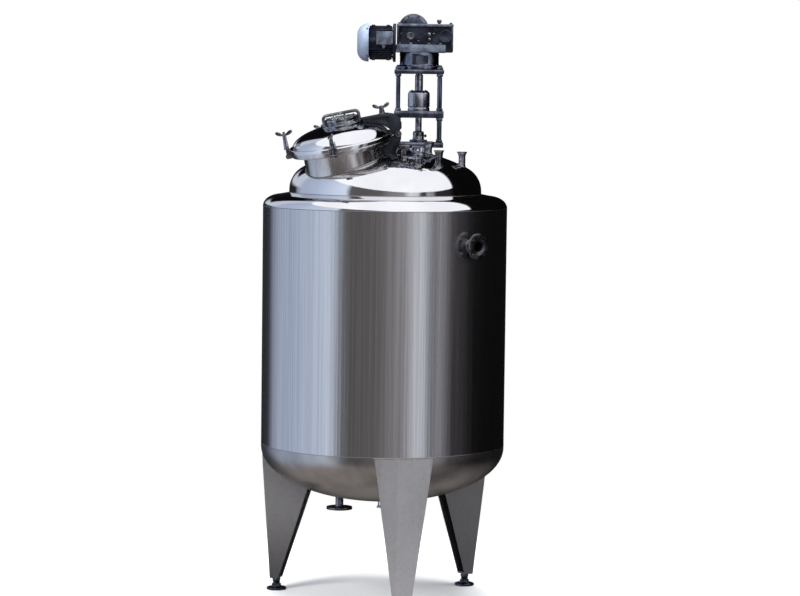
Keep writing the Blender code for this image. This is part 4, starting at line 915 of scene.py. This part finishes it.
PLATE = eased([(0.125, -0.125), (0.125, 0.125), (-0.125, 0.125), (-0.125, -0.125)], 0.008, 6)
POSTS = {"post_front_left": (-0.105, -0.105), "post_front_right": (0.105, -0.105),
    "post_back_right": (0.105, 0.105), "post_back_left": (-0.105, 0.105)}
plates = {"drive_base": (2.264, 2.29), "bearing_plate": (2.413, 2.448),
    "top_plate": (2.635, 2.655)}
for name, (low, high) in plates.items():
    made = piece(name + "_steel", [slab(PLATE, low, high, 0.0025, MIXER)], chrome, "dark_steel",
        name)
    bored(made, rod(0.0175, low - 0.1, high + 0.1, MIXER, 40))
for name, (x, y) in POSTS.items():
    spot = MIXER @ shift(x, y)
    forms = [rod(0.011, 2.3, 2.616, spot, 40)]
    forms += [threaded(0.01, 2.2905, 2.301, 0.002, 32, spot),
        threaded(0.01, 2.615, 2.6345, 0.002, 32, spot)]
    for low, high in ((2.2906, 2.303), (2.399, 2.4125), (2.4485, 2.461), (2.6215, 2.6345),
            (2.6553, 2.669)):
        forms += [slab(hexagon(0.03), low, high, 0.0014, spot)]
    forms += [turned([(0, 2.6553), (0.0098, 2.6553), (0.0098, 2.675), (0.006, 2.6785),
        (0, 2.6785)], spot, 32)]
    piece("stand_" + name, forms, chrome, "dark_steel", name)

seal_line = [(0.0175, 2.2903), (0.045, 2.2903), (0.045, 2.301), (0.0435, 2.3023), (0.029, 2.3028),
    (0.0285, 2.306), (0.0285, 2.318), (0.0272, 2.319), (0.0272, 2.324), (0.0285, 2.325),
    (0.0285, 2.3385), (0.024, 2.345), (0.0175, 2.345)]
forms = [turned(seal_line, MIXER, 64, 0.0008, 3)]
forms += ring_of(hex_bolt(0.0085, 2.302, 0.005), 4, 0.0368, 45.0, MIXER)
lay = MIXER @ shift(0, 0, 2.3215) @ spin(35) @ spin(90, "Y")
forms += [turned([(0, 0.025), (0.005, 0.025), (0.005, 0.04), (0.0075, 0.0405), (0.0075, 0.047),
    (0.003, 0.0475), (0, 0.0475)], lay, 24, 0.0006, 2)]
piece("shaft_seal", forms, fitting_steel, "polished_steel", "seal_housing")

pot_steel = grained("pot_steel", (0.4, 0.41, 0.45), 1.0, 0.24, [((16.0, 16.0, 5.0), 5.0)],
    ((0.24, 0.25, 0.29), (0.48, 0.5, 0.56)), (0.16, 0.18), (0.0006, 1.0), (0.3, 0.7))
bearing_line = [(0.0175, 2.4483), (0.0555, 2.4483), (0.0555, 2.46), (0.053, 2.462), (0.052, 2.465),
    (0.053, 2.468), (0.0555, 2.47), (0.0555, 2.534), (0.054, 2.5395), (0.044, 2.55),
    (0.038, 2.551), (0.0175, 2.551)]
forms = [turned(bearing_line, MIXER, 80, 0.0012, 3)]
forms += ring_of(hex_bolt(0.008, 2.55, 0.0045), 6, 0.0345, 0.0, MIXER)
piece("bearing_pot", forms, pot_steel, "polished_steel", "bearing_housing")
for node in ("mixer_shaft", "propeller"):
    cad[node].material_slots[0].material = fitting_steel

# Lantern: a cast flanged drum with four windows, bolted to the top plate, that carries the
# gear case.
lantern_line = [(0, 2.6553), (0.1115, 2.6553), (0.112, 2.6563), (0.112, 2.672), (0.1105, 2.6733),
    (0.104, 2.674), (0.1, 2.679), (0.1, 2.733), (0.0985, 2.7418), (0, 2.742)]
lantern = piece("lantern_casting", [turned(lantern_line, MIXER, 96, 0.001, 3)], chrome,
    "dark_casting", "lantern")
window = eased([(-0.03, 2.684), (0.03, 2.684), (0.03, 2.726), (-0.03, 2.726)], 0.01, 6)
window = upended(slab(window, -0.02, 0.02))
for turn in (8, 98, 188, 278):
    bored(lantern, *moved([window], MIXER @ spin(turn) @ shift(0, -0.098)))
piece("lantern_bolts", ring_of(hex_bolt(0.009, 2.673, 0.006), 8, 0.106, 12.0, MIXER), dark_steel,
    "dark_steel")


# Gear case: an enamelled iron casting with a flange below, a round bearing hump on top, a
# framed recess in each side with covers and plugs in it, and bolts round its flange.
enamel = grained("gear_enamel", (0.012, 0.014, 0.024), 0.1, 0.28, [((11.0, 11.0, 18.0), 5.0, 0.65),
    (70.0, 5.0)], ((0.004, 0.005, 0.009), (0.024, 0.028, 0.045)), (0.16, 0.16, 0.06),
    (0.001, 1.0, 0.5), (0.35, 0.7), Coat_Weight=0.06, Coat_Roughness=0.15, Specular_IOR_Level=0.25)
# A lighter blue enamel: the terminal lid's paint, and on the gear case's flanges, top rim and
# corner ribs a painted highlight along its edges.
panel_and_edge_highlight_enamel = grained("panel_and_edge_highlight_enamel", (0.1, 0.13, 0.18), 0.3, 0.34, [(30.0, 5.0)],
    ((0.045, 0.055, 0.078), (0.15, 0.175, 0.235)), (0.24, 0.2), (0.0006, 1.0), (0.3, 0.7))

LEFT, RIGHT, FRONT, BACK, CASE_LOW, CASE_TOP = 0.048, 0.332, 0.165, 0.325, 2.7443, 2.884


def facing(x, z, y=FRONT):
    """Place on the case's front face, its Z pointing out of the face towards the front."""
    return axis_frame((x, y, z), (1, 0, 0), UP, (0, -1, 0))


def back_facing(x, z):
    return axis_frame((x, BACK, z), (-1, 0, 0), UP, (0, 1, 0))


def rectangle(left, right, low, high, corner=0.006):
    return eased([(left, low), (right, low), (right, high), (left, high)], corner, 5)


case_plan = rectangle(LEFT, RIGHT, FRONT, BACK, 0.012)
case = piece("case_body", [slab(case_plan, CASE_LOW, CASE_TOP, 0.005)], enamel, "dark_casting",
    "gear_case")
recesses = []
for side_frame, mirror in ((facing(0, 0), 1), (back_facing(0, 0), -1)):
    opening = rectangle(LEFT + 0.012, RIGHT - 0.012, CASE_LOW + 0.048, CASE_TOP - 0.014, 0.012)
    recesses.append(slab(opening * (mirror, 1), -0.01, 0.01, 0.0, side_frame))
bored(case, *recesses)
# The flange, the top rim and the corner ribs take the lighter enamel as a painted highlight on the
# case's edges, against the nearly black body.
flange_plan = rectangle(LEFT - 0.004, RIGHT - 0.035, FRONT - 0.012, BACK + 0.012, 0.014)
top_plan = rectangle(LEFT - 0.001, RIGHT + 0.001, FRONT - 0.004, BACK + 0.004, 0.014)
forms = [slab(flange_plan, 2.7424, 2.7812, 0.003),
    slab(top_plan, CASE_TOP - 0.012, CASE_TOP + 0.001, 0.0025)]
for x in (LEFT + 0.004, RIGHT - 0.009):
    for y in (FRONT + 0.001, BACK - 0.006):
        forms.append(slab(rectangle(x, x + 0.006, y, y + 0.005, 0.002), CASE_LOW + 0.03,
            CASE_TOP - 0.004, 0.001))
piece("case_flanges", forms, panel_and_edge_highlight_enamel, "dark_casting")
half_line = [(0.076, 0.033), (0.074, 0.0345), (0.074, 0.0365), (0.076, 0.038), (0.0758, 0.062),
    (0.0735, 0.065), (0.063, 0.066), (0.06, 0.068), (0, 0.068)]
hump_line = [(r, -z) for r, z in half_line[::-1]] + half_line
hump_frame = facing(0.131, 2.86, 0.245)
forms = [turned(hump_line, hump_frame, 96, 0.001, 3)]
forms += ring_of(hex_bolt(0.009, 0.0648, 0.0055), 8, 0.0665, 22.5, hump_frame)
piece("bearing_hump", forms, chrome, "dark_casting")
cover_line = [(0, -0.008), (0.034, -0.008), (0.034, 0.007), (0.0325, 0.0088), (0.027, 0.009),
    (0.0255, 0.007), (0.012, 0.0066), (0.01, 0.005), (0, 0.0048)]
plug_line = [(0, -0.01), (0.021, -0.01), (0.021, 0.003), (0.0195, 0.0055), (0.0135, 0.006),
    (0.0125, 0.0042), (0, 0.004)]
covers, plugs = [], []
for side_frame in (facing(0.294, 2.823), back_facing(0.294, 2.823)):
    covers += [turned(cover_line, side_frame, 80, 0.0008, 3)]
    covers += ring_of(hex_bolt(0.0075, 0.0086, 0.0034), 6, 0.03, 30.0, side_frame)
for side_frame in (facing(0.116, 2.823), back_facing(0.116, 2.823)):
    plugs += [turned(plug_line, side_frame, 64, 0.0006, 3)]
for x, z, across in ((0.21, 2.833, 0.017), (0.212, 2.808, 0.012), (0.233, 2.834, 0.012)):
    plugs += moved(hex_bolt(across, -0.01, 0.011), facing(x, z))
piece("case_covers", covers, enamel, "dark_casting")
piece("case_plugs", plugs, fitting_steel, "polished_steel")
bolts = []
for x in (0.062, 0.118, 0.208, 0.268):
    for y in (FRONT - 0.0035, BACK + 0.0035):
        bolts += moved(hex_bolt(0.013, 2.781, 0.0085, 0.003), shift(x, y))
for x in (LEFT + 0.012, RIGHT - 0.012):
    for y in (FRONT + 0.008, BACK - 0.008):
        bolts += moved(hex_bolt(0.012, CASE_TOP + 0.0008, 0.008), shift(x, y))
breather = [(0, CASE_TOP), (0.0075, CASE_TOP), (0.0075, CASE_TOP + 0.01),
    (0.012, CASE_TOP + 0.012), (0.012, CASE_TOP + 0.022), (0.007, CASE_TOP + 0.026),
    (0, CASE_TOP + 0.026)]
bolts += [turned(breather, shift(0.262, 0.27), 32, 0.001, 3)]
piece("case_bolts", bolts, dark_steel, "dark_steel")

# Motor: a ribbed iron frame with a smooth panel on its front, a flange bolted to the gear
# case, and feet bosses; its axis is level and points left.
AXIS = axis_frame((0.0, 0.245, 2.79), (0, 1, 0), UP, (1, 0, 0))
barrel = [(0, -0.0935), (0.074, -0.0935), (0.075, -0.09), (0.075, 0.025), (0.086, 0.0275),
    (0.096, 0.03), (0.097, 0.031), (0.097, 0.0425), (0.096, 0.0437), (0, 0.0437)]
forms = [turned(barrel, AXIS, 96, 0.001, 3)]
fin = rectangle(0.07, 0.0858, -0.09, 0.0235, 0.004)
FINS, PANEL_HALF = 44, 0.34
for angle in circle(FINS):
    if abs(math.sin(angle)) > PANEL_HALF or math.cos(angle) > 0:
        blade = upended(slab(fin, -0.0013, 0.0013, 0.0006))
        forms += moved([blade], AXIS @ Matrix.Rotation(angle, 4, "Z"))
lug = slab(rectangle(-0.01, 0.01, 0.066, 0.0895, 0.004), -0.009, 0.009, 0.002)
for along in (-0.07, 0.005):
    for angle in (180, 0):
        forms += moved([lug], AXIS @ shift(-0.03, 0, along) @ spin(angle))
piece("motor_frame", forms, enamel, "dark_casting", "motor_body")
one_bolt = hex_bolt(0.011, 0.0306, 0.007)
flange_bolts = [(points * (1, 1, -1) + (0, 0, 0.061), faces) for points, faces in one_bolt]
piece("motor_bolts", ring_of(flange_bolts, 4, 0.0895, 45.0, AXIS), dark_steel, "dark_steel")

# Fan cowl: a pressed steel cap, painted light blue-grey, with rings of holes in its end and
# four screws round its edge.
cowl_paint = grained("cowl_paint", (0.47, 0.54, 0.68), 0.1, 0.32, [(16.0, 5.0), (190.0, 2.0)],
    ((0.18, 0.225, 0.32), (0.26, 0.31, 0.42)), (0.26, 0.16), (0.0006, 0.6, 0.4), (0.3, 0.75),
    Coat_Weight=0.2, Coat_Roughness=0.2)
t = np.radians(np.linspace(8, 90, 14))
crown = np.stack([0.04 + 0.056 * np.sin(t), -0.099 - 0.053 * np.cos(t)], 1)
inner = np.stack([0.04 + 0.054 * np.sin(t), -0.099 - 0.051 * np.cos(t)], 1)
cowl_line = np.concatenate([[(0, -0.15), (0.034, -0.1516)], crown,
    [(0.0965, -0.095), (0.0965, -0.094), (0.0945, -0.094)], inner[::-1],
    [(0.034, -0.1496), (0, -0.148)]])
cowl = piece("cowl_shell", [turned(cowl_line, AXIS, 96)], cowl_paint, "cowl_paint", "fan_cowl")
vents = []
for radius, count in ((0.014, 8), (0.026, 14), (0.038, 20)):
    width = radius * math.pi / count * 0.95
    hole = rod(width * 0.55, -0.16, -0.14, None, 10)
    vents += ring_of([hole], count, radius)
bored(cowl, *moved([joined(vents)], AXIS))
fan = [(0, -0.144), (0.08, -0.13), (0.08, -0.128), (0, -0.14)]
piece("fan_disc", [turned(fan, AXIS, 64)], rubber)
screws = hex_bolt(0.008, 0.096, 0.0035)
forms = []
for angle in (45, 135, 225, 315):
    turn = AXIS @ spin(angle) @ spin(90, "Y")
    forms += moved(moved(screws, shift(0.102, 0)), turn)
piece("cowl_screws", forms, dark_steel, "dark_steel")

# Terminal box: a cast box on the motor's front with a screwed lid, a gap between them, and
# one cable gland.
box_plan = rectangle(-0.053, 0.0278, 2.78, 2.843, 0.01)
box_frame = axis_frame((0, 0.195, 0), (1, 0, 0), UP, (0, -1, 0))
made = piece("terminal_case", [slab(box_plan, -0.03, 0.058, 0.002, box_frame)], enamel,
    "dark_casting", "terminal_box")
bored(made, rod(0.0752, -0.2, 0.1, AXIS, 64))
lid_plan = rectangle(-0.0545, 0.029, 2.7785, 2.8445, 0.011)
piece("terminal_lid", [slab(lid_plan, 0.06, 0.0718, 0.003, box_frame)], panel_and_edge_highlight_enamel,
    "dark_casting")
forms = []
for x in (-0.0465, 0.021):
    for z in (2.7865, 2.8365):
        forms += moved(hex_bolt(0.007, 0.0716, 0.0022), box_frame @ shift(x, z))
gland = axis_frame((-0.017, 0.165, 2.7805), (1, 0, 0), (0, -1, 0), (0, 0, -1))
forms += moved([slab(hexagon(0.02), 0.0, 0.009, 0.001),
    turned([(0, 0.008), (0.0085, 0.008), (0.008, 0.019), (0.0045, 0.021), (0, 0.021)], None, 32,
    0.001, 3)], gland)
piece("terminal_fittings", forms, dark_steel, "dark_steel")


# Studio: a pale floor, two large soft lights above, and a surround of pale walls and dark
# gaps, so that the polished steel has something to show.
floor_paint, shader, place = finish("studio_floor", (0.92, 0.92, 0.92), 0.0, 0.9)
tint(stretched(place, 0.7), (0.91, 0.91, 0.912), (0.93, 0.93, 0.932)).plug(shader, "Base Color")
away = place.node("VectorMath", {"operation": "LENGTH"}, out=1, _0=place)
(1.0 - away.within(1.2, 2.6)).plug(shader, "Alpha")
FLOOR, FLOOR_SIDES = 2.8, 96
t = circle(FLOOR_SIDES)
rim = np.stack([FLOOR * np.cos(t), FLOOR * np.sin(t), 0 * t], 1)
floor = bpy.data.meshes.new("studio_floor")
floor.from_pydata(rim.tolist(), [], [list(range(FLOOR_SIDES))])
floor.materials.append(floor_paint)
floor = bpy.data.objects.new("studio_floor", floor)
floor.visible_glossy = False
bpy.context.scene.collection.objects.link(floor)
floor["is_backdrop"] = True

world = bpy.data.worlds.new("studio")
world.use_nodes = True
tree = world.node_tree
tree.nodes.clear()
start = Wire(tree)
way = start.node("TexCoord")
east = start.node("SeparateXYZ", _0=way)
north = Wire(tree, east.socket.node.outputs[1])
rise = Wire(tree, east.socket.node.outputs[2])
bearing = east.maths("ARCTAN2", east, north * -1.0) * (0.5 / math.pi) + 0.5


def horizon(*stops):
    """Colours round the horizon. A stop is its degrees to the right of the front, and a colour."""
    ramp = [((degrees + 180) / 360, colour) for degrees, colour in stops]
    return bearing.node("ValToRGB", {"stops": ramp}, Fac=bearing)


def mixed(share, low, high):
    return start.node("Mix", {"data_type": "RGBA"}, out=2, _0=share, _6=low, _7=high)


front_walls = [(-118, (0.48, 0.55, 0.7)), (-90, (0.52, 0.61, 0.79)), (-62, (0.7, 0.79, 0.96)),
    (-47, (0.8, 0.89, 1.05)), (-41, (0.135, 0.13, 0.125)), (-30, (0.12, 0.113, 0.11)),
    (-4, (0.145, 0.135, 0.135)), (4, (0.24, 0.225, 0.235)), (22, (0.3, 0.29, 0.31)),
    (29, (0.78, 0.8, 0.86)), (40, (0.7, 0.74, 0.8)), (44, (0.07, 0.07, 0.08)),
    (49, (0.07, 0.07, 0.08)), (52, (0.4, 0.39, 0.42)), (59, (0.3, 0.29, 0.32)),
    (63, (0.035, 0.03, 0.035)), (82, (0.028, 0.024, 0.027)), (90, (0.003, 0.003, 0.003)),
    (180, (0.003, 0.003, 0.003))]
walls = horizon((-180, (0.02, 0.02, 0.022)), (-136, (0.02, 0.02, 0.022)),
    (-129, (0.3, 0.34, 0.44)), *front_walls)
high_walls = horizon((-180, (0.003, 0.003, 0.003)), (-166, (0.01, 0.01, 0.012)),
    (-157, (0.62, 0.68, 0.78)), (-130, (0.66, 0.73, 0.84)), *front_walls)
toward = way.node("VectorMath", {"operation": "DOT_PRODUCT"}, out=1, _0=way,
    _1=(0.25, -0.33, 0.91))
ceiling = toward.within(0.46, 0.5) * (1.0 - (east + north * 1.1).within(0.93, 0.99))
gloom = (1.0 - bearing.within(31 / 360, 37 / 360)) * rise.within(0.24, 0.3)
ground = horizon((-180, (0.3, 0.28, 0.27)), (-60, (0.36, 0.33, 0.31)), (30, (0.3, 0.27, 0.26)),
    (90, (0.12, 0.11, 0.11)), (170, (0.28, 0.26, 0.25)))
sides = mixed(rise.within(0.04, 0.14), walls, high_walls)
sides = mixed(gloom, sides, (0.004, 0.004, 0.005, 1.0))
upper = mixed(ceiling, sides, (1.22, 1.23, 1.27, 1.0))
light = mixed((rise * -1.0).within(0.3, 0.75), upper, ground)
ray = start.node("LightPath")
seen = start.node("Background", Color=(1.0, 1.0, 1.0, 1.0), Strength=1.0)
lit = start.node("Background", Color=light, Strength=1.0)
both = start.node("MixShader", _0=ray, _1=lit, _2=seen)
end = tree.nodes.new("ShaderNodeOutputWorld")
tree.links.new(both.socket, end.inputs["Surface"])
bpy.context.scene.world = world
bpy.context.scene.view_settings.view_transform = "Standard"


LIT_SPOT = Vector((0, 0, 1.4))
LAMPS = {"key": ((-4.5, -5.0, 5.5), 3.0, 450), "top": ((0.5, -0.5, 8.0), 5.0, 900)}
for name, (spot, size, power) in LAMPS.items():
    lamp = bpy.data.objects.new(name, bpy.data.lights.new(name, "AREA"))
    lamp.data.energy = power
    lamp.data.shape = "DISK"
    lamp.data.size = size
    lamp.location = spot
    lamp.rotation_euler = (LIT_SPOT - Vector(spot)).to_track_quat("-Z", "Y").to_euler()
    lamp.visible_glossy = False
    bpy.context.scene.collection.objects.link(lamp)

low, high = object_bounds()
